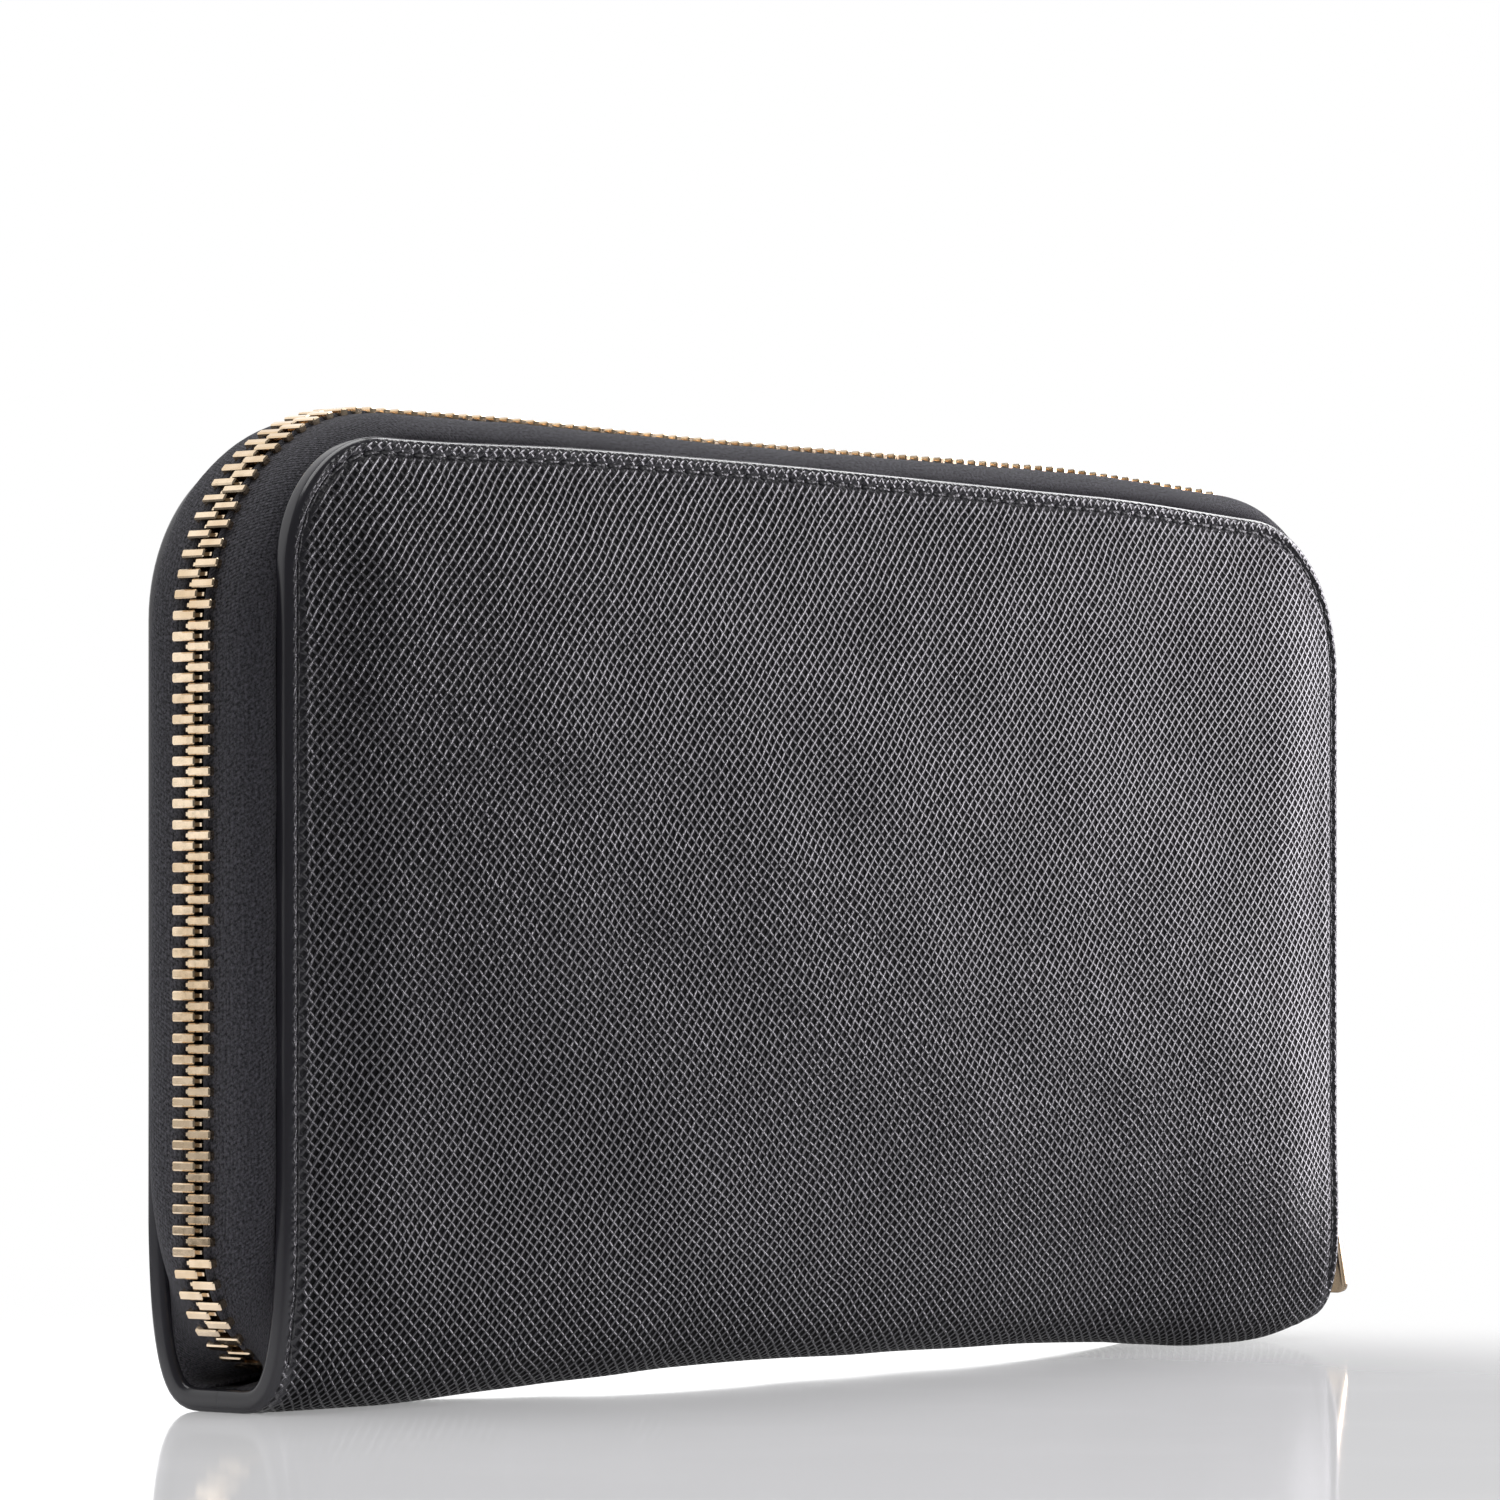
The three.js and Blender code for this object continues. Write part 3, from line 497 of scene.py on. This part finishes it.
def on_outline(u, run, end, top_run, corners, profile):
    """Puts a flat grid onto a panel with two rounded top corners: (x, run, depth, inset)."""
    corner = corners[1] if u > 0 else corners[0]
    side_inset, top_inset = end - abs(u), top_run - run
    inset = min(side_inset, top_inset)
    distance, depth = profile(inset)
    sign = 1 if u >= 0 else -1
    if side_inset < corner and top_inset < corner:
        across, up = corner - side_inset, corner - top_inset
        angle = math.pi / 4 * (up / across if across >= up else 2 - across / up)
        reach = corner - distance
        x = sign * (end - corner + reach * math.cos(angle))
        return x, top_run - corner + reach * math.sin(angle), depth, inset
    if side_inset <= top_inset:
        return sign * (end - distance), run, depth, inset
    return u, top_run - distance, depth, inset


def on_wrap(x, up, depth):
    """A point of the wrap, or of a layer inside it, with the wallet's soft places taken in."""
    y, z = section(up, depth + nip(x, up))
    rise = 0.45 * crest(x) * smooth((up - WRAP_RUN + 25) / 25) - sag(x) * smooth((up - WRAP_RUN + 45) / 45)
    return Vector((x, y, z + base_lift(x, up) + rise))


def leather_place(u, run, corners):
    x, up, depth, inset = on_outline(u, run, END, WRAP_RUN, corners, edge_profile)
    out = swell(x, up, max(inset, RIM_ROUND)) * (1 - depth / RIM_WIDTH)
    return on_wrap(x, up, depth - out)


def leather_press(u, run):
    """How deep the hatch is pressed: not on the rim, faint in the seam, full on the panel."""
    inset = min(END - abs(u), WRAP_RUN - run)
    seam = 1 - 0.7 * math.exp(-(((inset - STITCH_INSET) / 0.5) ** 2))
    return smooth((inset - 0.3) / 0.7) * seam * mix(0.7, 1, smooth((inset - 2) / 3))


# Insets of the grid lines near an edge: the hidden hem, the rolled rim, the seam, then the panel.
HEM = RIM_ROUND - 2 * ROUND_RUN - FLAT_RUN
HEM_WIDTH = 4.5
EDGE_LINES = [HEM - HEM_WIDTH]
EDGE_LINES += steps(HEM, RIM_ROUND - ROUND_RUN - FLAT_RUN, 0.25)
EDGE_LINES += steps(RIM_ROUND - ROUND_RUN, RIM_ROUND, 0.25)
EDGE_LINES += [1.0, 1.25, 1.5, 1.7, 1.9, 2.15, 2.5, 2.9, 3.4, 4.1, 5, 6, 7.2]
EDGE_LINES += [8.6, 10.2, 12, 13.5, 15, 16.7, 18.3, 20]


def wrap_lines():
    inner = END - WIDEST_CORNER
    columns = [-END + t for t in EDGE_LINES] + steps(-inner, inner, 1.9)[1:-1]
    columns += [END - t for t in reversed(EDGE_LINES)]
    rows = [0, 0.05] + steps(0, SPINE_RUN, 1.0)[1:] + steps(SPINE_RUN, WRAP_RUN - WIDEST_CORNER, 1.9)[1:-1]
    rows += [WRAP_RUN - t for t in reversed(EDGE_LINES)]
    return columns, rows


def across_the_fold(piece, side):
    """Bakes the piece's placement into its mesh."""
    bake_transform(piece)


def across_the_tail(piece, side):
    """Bakes the piece's placement into its mesh."""
    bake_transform(piece)


def make_leather(side, mirror):
    columns, rows = wrap_lines()
    corners = CORNERS[side]

    def pattern(u, run):
        return on_outline(u, run, END, WRAP_RUN, corners, edge_profile)[:2]

    bm = lay_cloth(columns, rows, lambda u, run: leather_place(u, run, corners), leather_press, pattern)
    wrap = finish_mesh(bm, f"{side}_leather", leather, mirror)
    thicken(wrap, 0.5)
    across_the_fold(wrap, side)
    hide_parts(f"{side}_cover_leather", "spine_leather")


def make_inner_wrap(name, side, mirror, depth, thickness, inset, material, nodes):
    """A flat layer inside the leather, from the middle of the spine to the top of a cover."""
    end, top_run, corner = END - inset, WRAP_RUN - inset, WIDEST_CORNER - inset
    corners = [radius - inset for radius in CORNERS[side]]

    def place(u, run):
        x, up, _, _ = on_outline(u, run, end, top_run, corners, lambda t: (t, 0.0))
        return on_wrap(x, up, depth)

    columns = [-end + t for t in steps(0, corner, 2)] + steps(corner - end, end - corner, 3)[1:-1]
    columns += [end - t for t in steps(corner, 0, 2)]
    rows = steps(0, SPINE_RUN, 1.3) + steps(SPINE_RUN, top_run - corner, 3)[1:-1]
    rows += [top_run - t for t in steps(corner, 0, 2)]
    bm = lay_cloth(columns, rows, place)
    layer = finish_mesh(bm, name, material, mirror)
    thicken(layer, thickness)
    across_the_fold(layer, side)
    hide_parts(*nodes)


# ---- Routes for stitches and zips -----------------------------------------------------------

class Route:
    """A path of straight lines and arcs in the X-Z plane, drawn like a pen that turns."""

    def __init__(self, x, z, heading):
        self.pen = Vector((x, z))
        self.heading = math.radians(heading)
        self.parts = []
        self.length = 0.0

    def line(self, length):
        self.parts.append((self.length, self.pen.copy(), self.heading, length, 0.0))
        self.pen += length * Vector((math.cos(self.heading), math.sin(self.heading)))
        self.length += length
        return self

    def quarter(self, radius):
        """A quarter turn to the right."""
        middle = self.pen + radius * Vector((math.sin(self.heading), -math.cos(self.heading)))
        self.parts.append((self.length, middle, self.heading, radius * math.pi / 2, radius))
        self.heading -= math.pi / 2
        self.pen = middle + radius * Vector((-math.sin(self.heading), math.cos(self.heading)))
        self.length += radius * math.pi / 2
        return self

    def at(self, distance):
        """(point, direction) that far along."""
        index = bisect.bisect_right([part[0] for part in self.parts], distance) - 1
        start, origin, heading, _, radius = self.parts[max(index, 0)]
        along = distance - start
        if radius:
            heading -= along / radius
            point = origin + radius * Vector((-math.sin(heading), math.cos(heading)))
        else:
            point = origin + along * Vector((math.cos(heading), math.sin(heading)))
        return point, Vector((math.cos(heading), math.sin(heading)))


LEFT_BEND, RIGHT_BEND = ZIP_CORNERS
TAIL_X = TRACK_X - TAIL_RADIUS
ZIP_START = TAIL_BOTTOM + TAIL_RADIUS
TAIL_LENGTH = TAIL_RUN + TAIL_RADIUS * math.pi / 2
track = Route(-TAIL_X + TAIL_RUN, TAIL_BOTTOM, 180).line(TAIL_RUN).quarter(TAIL_RADIUS)
track.line(TRACK_TOP - LEFT_BEND - ZIP_START).quarter(LEFT_BEND)
track.line(2 * TRACK_X - LEFT_BEND - RIGHT_BEND).quarter(RIGHT_BEND)
track.line(TRACK_TOP - RIGHT_BEND - ZIP_START).quarter(TAIL_RADIUS).line(TAIL_RUN)


def off_track(distance, y, out):
    """A point beside the zip's track: y across it, out square to it."""
    point, way = track.at(distance)
    dip = 0.55 * crest(point.x) * smooth((point.y - TRACK_TOP + 12) / 12)
    dip += sag(point.x) * smooth((point.y - TRACK_TOP + 45) / 45)
    return Vector((point.x - out * way.y, y, point.y + out * way.x - dip))


def through(points, share):
    """A smooth curve through a list of (y, out) points, for a share from 0 to 1."""
    place = share * (len(points) - 1)
    i = min(int(place), len(points) - 2)
    t = place - i
    a, b, c, d = (Vector(points[min(max(k, 0), len(points) - 1)]) for k in (i - 1, i, i + 1, i + 2))
    return 0.5 * (2 * b + (c - a) * t + (2 * a - 5 * b + 4 * c - d) * t**2 + (3 * b - a - 3 * c + d) * t**3)


# ---- Stitches -------------------------------------------------------------------------------

def capsule(length, width, height):
    """One stitch lying along X: a short rounded bar of thread."""
    bm = bmesh.new()
    bmesh.ops.create_uvsphere(bm, u_segments=6, v_segments=4, radius=0.5)
    bmesh.ops.rotate(bm, cent=(0, 0, 0), matrix=Matrix.Rotation(math.pi / 2, 3, "Y"), verts=bm.verts)
    bmesh.ops.scale(bm, vec=(length, width, height), verts=bm.verts)
    mesh = bpy.data.meshes.new("stitch")
    bm.to_mesh(mesh)
    bm.free()
    return mesh


def repeat(mesh, frames):
    """Copies of one small mesh, one at each frame, in a single bmesh."""
    bm = bmesh.new()
    for matrix in frames:
        known = len(bm.verts)
        bm.from_mesh(mesh)
        bm.verts.ensure_lookup_table()
        bmesh.ops.transform(bm, matrix=matrix, verts=bm.verts[known:])
    return bm


def frame_of(origin, along, outward):
    """A matrix whose X runs along and whose Z points outward."""
    along = along.normalized()
    side = outward.cross(along).normalized()
    matrix = Matrix((along, side, along.cross(side))).transposed().to_4x4()
    matrix.translation = origin
    return matrix


def make_edge_stitches(side, mirror):
    half, top = END - STITCH_INSET, WRAP_RUN - STITCH_INSET
    radius, soft_radius = (corner - STITCH_INSET for corner in CORNERS[side])
    seam = Route(-half, SEAM_LOW, 90).line(top - radius - SEAM_LOW).quarter(radius)
    seam.line(2 * half - radius - soft_radius).quarter(soft_radius).line(top - soft_radius - SEAM_LOW)

    def on_leather(distance):
        flat, _ = seam.at(min(max(distance, 0), seam.length))
        return on_wrap(flat.x, flat.y, -0.05 - swell(flat.x, flat.y, STITCH_INSET))

    frames = []
    for i in range(int(seam.length / STITCH_PITCH)):
        middle = (i + 0.5) * STITCH_PITCH
        way = on_leather(middle + 0.5) - on_leather(middle - 0.5)
        frames.append(frame_of(on_leather(middle), way, Vector((0, -1, 0))))
    bm = repeat(capsule(STITCH_PITCH * 0.82, 0.5, 0.36), frames)
    stitches = finish_mesh(bm, f"{side}_edge_stitches", thread, mirror)
    across_the_fold(stitches, side)


def row_of_stitches(start, end, outward, pitch=2.4, width=0.36):
    start, end = Vector(start), Vector(end)
    count = max(1, int((end - start).length / pitch))
    way = end - start
    return [frame_of(start.lerp(end, (i + 0.5) / count), way, Vector(outward)) for i in range(count)]


# ---- Main zip -------------------------------------------------------------------------------

TAPE_WIDTH = 15.0
TAPE_TOP = 26.0
TAPE_TURN = TAIL_LENGTH + TAPE_TOP - ZIP_START
RIM_BACK = FACE - RIM_WIDTH

# (y, out) across the tape, from its margin inside the cover, over the rim and up to the teeth.
SEWN_TAPE = (
    (-7.75, -6.4), (-7.75, -4.2), (-RIM_BACK, -3.5), (-RIM_BACK - 0.4, -2.9), (-RIM_BACK - 0.3, -2.1),
    (-7.6, -1.2), (-6.5, -0.5), (-5.0, -0.1), (-3.3, 0.0), (-1.45, 0.0),
)


def tape_pattern(along, share):
    """A tape's UV place: its threads keep their size along it and across it."""
    return along, share * TAPE_WIDTH


def tape_place(distance, share):
    """The tape bulges over the rim where it is sewn in. Over the spine it runs down onto the lining."""
    y, out = through(SEWN_TAPE, share)
    wave = 0.22 * noise.noise(Vector((distance / 7, share * 3, 7.0))) * smooth(1.3 - share)
    point = off_track(distance, y, out + wave)
    point.y *= 1 - nip(point.x, point.z) / 11
    tail = max(TAPE_TURN - distance, distance - track.length + TAPE_TURN, 0) / TAPE_TURN
    if tail == 0:
        return point
    sign = -1 if distance < TAPE_TURN else 1
    margin = max(0.0, 1 - share / 0.16)
    hem = on_wrap(sign * (END - 0.9 - 3 * margin), mix(SPINE_RUN + TAPE_TOP - FOLD, 2.0, tail), 2.45)
    chain = off_track(distance, -1.45, 0.0)
    return point.lerp(hem.lerp(chain, max(0.0, (share - 0.16) / 0.84)), smooth(tail * 1.6))


def make_tape(side, mirror):
    bm = lay_cloth(steps(0, track.length, 1.5), steps(0, 1, 0.036), tape_place, pattern=tape_pattern)
    tape = finish_mesh(bm, f"{side}_tape", zip_cloth, mirror)
    thicken(tape, 0.45, 0.0)
    across_the_tail(tape, side)
    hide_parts(f"{side}_zip_tape", f"{side}_tape_tail_left", f"{side}_tape_tail_right")


def make_cord(side, mirror):
    """The corded edge that the teeth grip."""
    ring = 8

    def place(distance, turn):
        angle = turn * math.tau / ring
        return off_track(distance, -1.75 - 0.55 * math.cos(angle), 0.62 * math.sin(angle))

    bm = lay_cloth(steps(0, track.length, 1.5), list(range(ring + 1)), place)
    bmesh.ops.remove_doubles(bm, verts=bm.verts, dist=0.001)
    cord = finish_mesh(bm, f"{side}_zip_cord", zip_cloth, mirror)
    across_the_tail(cord, side)


def tooth_mesh(reach, root, wide, rise):
    """One tooth: a bar across the tape with softened edges, and a lower nib past its tip."""
    bm = bmesh.new()
    bmesh.ops.create_cube(bm, size=1)
    bmesh.ops.transform(bm, matrix=Matrix.Diagonal((reach + root, wide, 2 * rise, 1)), verts=bm.verts)
    bmesh.ops.translate(bm, vec=((reach - root) / 2, 0, 0), verts=bm.verts)
    bmesh.ops.bevel(bm, geom=bm.edges[:], offset=wide * 0.16, offset_type="OFFSET", segments=1,
                    affect="EDGES", profile=0.5, material=-1)
    nib = bmesh.ops.create_cube(bm, size=1)["verts"]
    bmesh.ops.transform(bm, matrix=Matrix.Diagonal((1.1, wide * 0.42, 0.9 * rise, 1)), verts=nib)
    bmesh.ops.translate(bm, vec=(reach + 0.1, 0, 0), verts=nib)
    mesh = bpy.data.meshes.new("tooth")
    bm.to_mesh(mesh)
    bm.free()
    return mesh


def tooth_frame(distance):
    """Teeth reach over the middle along +Y and rise square to the tape."""
    point, way = track.at(distance)
    across, along = Vector((0, 1, 0)), Vector((way.x, 0, way.y))
    matrix = Matrix((across, along, across.cross(along))).transposed().to_4x4()
    matrix.translation = off_track(distance, 0.0, 0.0)
    return matrix


def make_teeth(side, mirror, step):
    closed_end = track.length - TAIL_LENGTH - (SLIDER_MIDDLE - 1 - ZIP_START)
    count = int((closed_end - 0.5) / PITCH - step)
    frames = [tooth_frame((i + step) * PITCH) for i in range(count + 1) if (i + step) * PITCH > 0.5]
    bm = repeat(tooth_mesh(0.5, 2.75, 0.98, TOOTH_RISE), frames)
    teeth = finish_mesh(bm, f"{side}_zip_teeth", brass, mirror, soft=False)
    across_the_tail(teeth, side)
    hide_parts(f"{side}_teeth", f"{side}_teeth_right_end", f"{side}_teeth_tail")


# ---- Pockets inside the covers --------------------------------------------------------------

def make_pocket(side, mirror, node, name):
    """A pocket panel with a folded top edge, rounded corners and a stitched border."""
    low, high = span(f"front_{node}")
    half, height, y = high.x, high.z - low.z, high.y
    corner = 3.0

    def place(u, v):
        x, up, _, inset = on_outline(u, v, half, height, (corner, corner), lambda t: (t, 0.0))
        fold = 0.16 * math.exp(-(((height - up - 0.7) / 0.45) ** 2))
        middle = -0.12 * math.exp(-((x / 0.7) ** 2))
        slack = 0.1 * noise.noise(Vector((x / 25, up / 18, y)))
        return Vector((x, y + fold + middle + slack * smooth(inset / 6), low.z + up))

    columns = [-half + t for t in (0, 0.5, 1, 1.5, 2.2, 3)] + steps(3 - half, -2, 4)[1:]
    columns += [-1, -0.5, 0, 0.5, 1] + steps(2, half - 3, 4) + [half - t for t in (2.2, 1.5, 1, 0.5, 0)]
    rows = steps(0, height - 3, 4) + [height - t for t in (2.2, 1.7, 1.2, 0.9, 0.7, 0.45, 0.2, 0)]
    bm = lay_cloth(columns, rows, place)
    bmesh.ops.reverse_faces(bm, faces=bm.faces)
    panel = finish_mesh(bm, f"{side}_{name}", smooth_leather, mirror)
    thicken(panel, high.y - low.y)
    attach(panel, f"{side}_cover")
    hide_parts(f"{side}_{node}")
    inward, y = (0, 1, 0), high.y + 0.06
    frames = row_of_stitches((-half + corner, y, high.z - 1.7), (half - corner, y, high.z - 1.7), inward)
    bottom = high.z - 9.0
    frames += row_of_stitches((0, y - 0.1, bottom), (0, y - 0.1, high.z - 2.5), inward)
    for sign in (-1, 1):
        x = sign * (half - 1.3)
        frames += row_of_stitches((x, y, bottom), (x, y, high.z - corner), inward)
    bm = repeat(capsule(1.9, 0.34, 0.24), frames)
    stitches = finish_mesh(bm, f"{side}_{name}_stitches", thread, mirror)
    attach(stitches, f"{side}_cover")


# ---- Coin pocket ----------------------------------------------------------------------------

def make_coin_panel(side, mirror):
    low, high = coin_low, coin_high
    half, height = high.x, high.z - low.z
    corner = 3.0

    def place(u, v):
        x, up, _, inset = on_outline(u, v, half, height, (corner, corner), lambda t: (t, 0.0))
        belly = 0.25 * smooth(inset / 20) + 0.12 * noise.noise(Vector((x / 22, up / 16, 9)))
        press = 0.12 * math.exp(-(((inset - 2.0) / 0.5) ** 2))
        return Vector((x, low.y - belly * smooth(inset / 8) + press, low.z + up))

    columns = [-half + t for t in (0, 0.6, 1.2, 1.6, 2, 2.4, 3)] + steps(3 - half, half - 3, 3)[1:-1]
    columns += [half - t for t in (3, 2.4, 2, 1.6, 1.2, 0.6, 0)]
    rows = steps(0, height - 3, 3) + [height - t for t in (2.4, 2, 1.6, 1.2, 0.6, 0)]
    bm = lay_cloth(columns, rows, place)
    panel = finish_mesh(bm, f"{side}_coin_pocket_panel", smooth_leather, mirror)
    thicken(panel, high.y - low.y)
    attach(panel, "root")
    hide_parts(f"{side}_coin_panel")
    y = low.y - 0.02
    frames = row_of_stitches((-half + corner, y, high.z - 2), (half - corner, y, high.z - 2), (0, -1, 0))
    for sign in (-1, 1):
        x = sign * (half - 2)
        frames += row_of_stitches((x, y, low.z + 2), (x, y, high.z - corner), (0, -1, 0))
    bm = repeat(capsule(1.9, 0.34, 0.24), frames)
    stitches = finish_mesh(bm, f"{side}_coin_pocket_stitches", thread, mirror)
    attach(stitches, "root")


def make_coin_tape(side, mirror):
    low, high = span("front_coin_zip_tape")
    wall, level = low.y + 0.3, COIN_ZIP_LEVEL

    def place(x, share):
        if share < 0.6:
            return Vector((x, wall, mix(low.z, level - 0.8, share / 0.6)))
        if share < 0.75:
            angle = (share - 0.6) / 0.15 * math.pi / 2
            return Vector((x, wall + 0.8 * (1 - math.cos(angle)), level - 0.8 * (1 - math.sin(angle))))
        return Vector((x, mix(wall + 0.8, -1.15, (share - 0.75) / 0.25), level))

    shares = [0, 0.3, 0.6, 0.64, 0.68, 0.72, 0.75, 0.8, 0.87, 0.94, 1]
    bm = lay_cloth(steps(low.x, high.x, 2.5), shares, place, pattern=tape_pattern)
    tape = finish_mesh(bm, f"{side}_coin_tape", zip_cloth, mirror)
    thicken(tape, 0.4, 0.0)
    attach(tape, "root")
    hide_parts(f"{side}_coin_zip_tape")


def make_coin_teeth(side, mirror, step):
    low, high = span("front_coin_teeth")
    frames = []
    x = low.x + (1 + step) * COIN_PITCH
    while x < high.x - COIN_PITCH / 2:
        frames.append(Matrix.Translation((x, 0, COIN_ZIP_LEVEL)) @ Matrix.Rotation(math.pi / 2, 4, "Z"))
        x += COIN_PITCH
    bm = repeat(tooth_mesh(0.4, 2.05, 0.86, 0.8), frames)
    teeth = finish_mesh(bm, f"{side}_coin_zip_teeth", brass, mirror, soft=False)
    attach(teeth, "root")
    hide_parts(f"{side}_coin_teeth")


# ---- Gussets --------------------------------------------------------------------------------

def make_gusset(side, mirror, end, flip):
    """A folded strip that joins coin pocket and cover."""
    low, high = span("front_left_gusset")
    opening = -END + GUSSET_INSET
    near, far = -COIN_FACE, -FAN_BACK
    lining = -(FACE - 2.75)

    def place(share, z):
        deep = mix(11, 20, (z - low.z) / (high.z - low.z))
        if share <= 2:
            turn = (share - 1) * math.pi / 2
            x, y = opening + deep * math.cos(turn) ** 0.6, mix(near, far, 0.5 + 0.5 * math.sin(turn))
        else:
            x, y = opening - 4.4 * (share - 2), mix(far, lining, smooth(share - 2))
        return Vector((flip * x, y, z))

    shares = steps(0, 2, 0.1) + steps(2, 3, 0.15)[1:]
    bm = lay_cloth(shares, steps(low.z, high.z, 2.6), place)
    if flip < 0:
        bmesh.ops.reverse_faces(bm, faces=bm.faces)
    gusset = finish_mesh(bm, f"{side}_{end}_folded_gusset", smooth_leather, mirror)
    thicken(gusset, 0.35, 0.0)
    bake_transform(gusset)
    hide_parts(f"{side}_{end}_gusset")


# ---- Metal and small pieces -----------------------------------------------------------------

def make_metal():
    for node, body, width in (
        ("slider_body", "slider", 0.28),
        ("slider_bridge", "slider", 0.22),
        ("slider_pull", "pull", 0.3),
        ("coin_slider_body", "coin_slider", 0.2),
        ("coin_slider_bridge", "coin_slider", 0.16),
        ("coin_slider_pull", "coin_pull", 0.22),
        ("bottom_stop", "root", 0.25),
        ("coin_zip_stop", "root", 0.2),
        ("front_top_stop", "root", 0.25),
        ("rear_top_stop", "root", 0.25),
    ):
        piece = from_node(f"{node}_metal", node, brass, width)
        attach(piece, body)


def make_coin_walls():
    for part in ("floor", "left_side", "right_side", "keel"):
        node = f"coin_pocket_{part}"
        piece = from_node(f"{node}_leather", node, smooth_leather, 0.1)
        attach(piece, "root")


# ---- Assembly -------------------------------------------------------------------------------

leather = embossed_leather()
smooth_leather = pocket_leather()
zip_cloth = woven("black_zip_cloth", (0.010, 0.010, 0.013), (0.135, 0.130, 0.155), 0.45, 0.85)
lining_cloth = woven("black_lining_cloth", (0.008, 0.008, 0.010), (0.03, 0.03, 0.035), 0.4, 0.8)
brass = polished_brass()
thread = twisted_thread()
board = grey_board()

make_camera()
make_light()
make_floor()

for side, mirror, step in (("front", False, 0.25), ("rear", True, 0.75)):
    make_leather(side, mirror)
    make_inner_wrap(f"{side}_stiffener", side, mirror, BOARD_DEPTH, 0.55, 1.4, board,
                    (f"{side}_cover_board", "spine_board"))
    make_inner_wrap(f"{side}_lining", side, mirror, LINING_DEPTH, 0.35, 1.5, lining_cloth,
                    (f"{side}_cover_lining", "spine_lining"))
    make_edge_stitches(side, mirror)
    make_tape(side, mirror)
    make_cord(side, mirror)
    make_teeth(side, mirror, step)
    make_pocket(side, mirror, "slip_pocket", "slip_pocket_panel")
    for tier in range(1, 5):
        make_pocket(side, mirror, f"card_slot_{tier}", f"card_pocket_{tier}")
    make_coin_panel(side, mirror)
    make_coin_tape(side, mirror)
    make_coin_teeth(side, mirror, step)
    for end, flip in (("left", 1), ("right", -1)):
        make_gusset(side, mirror, end, flip)
make_metal()
make_coin_walls()
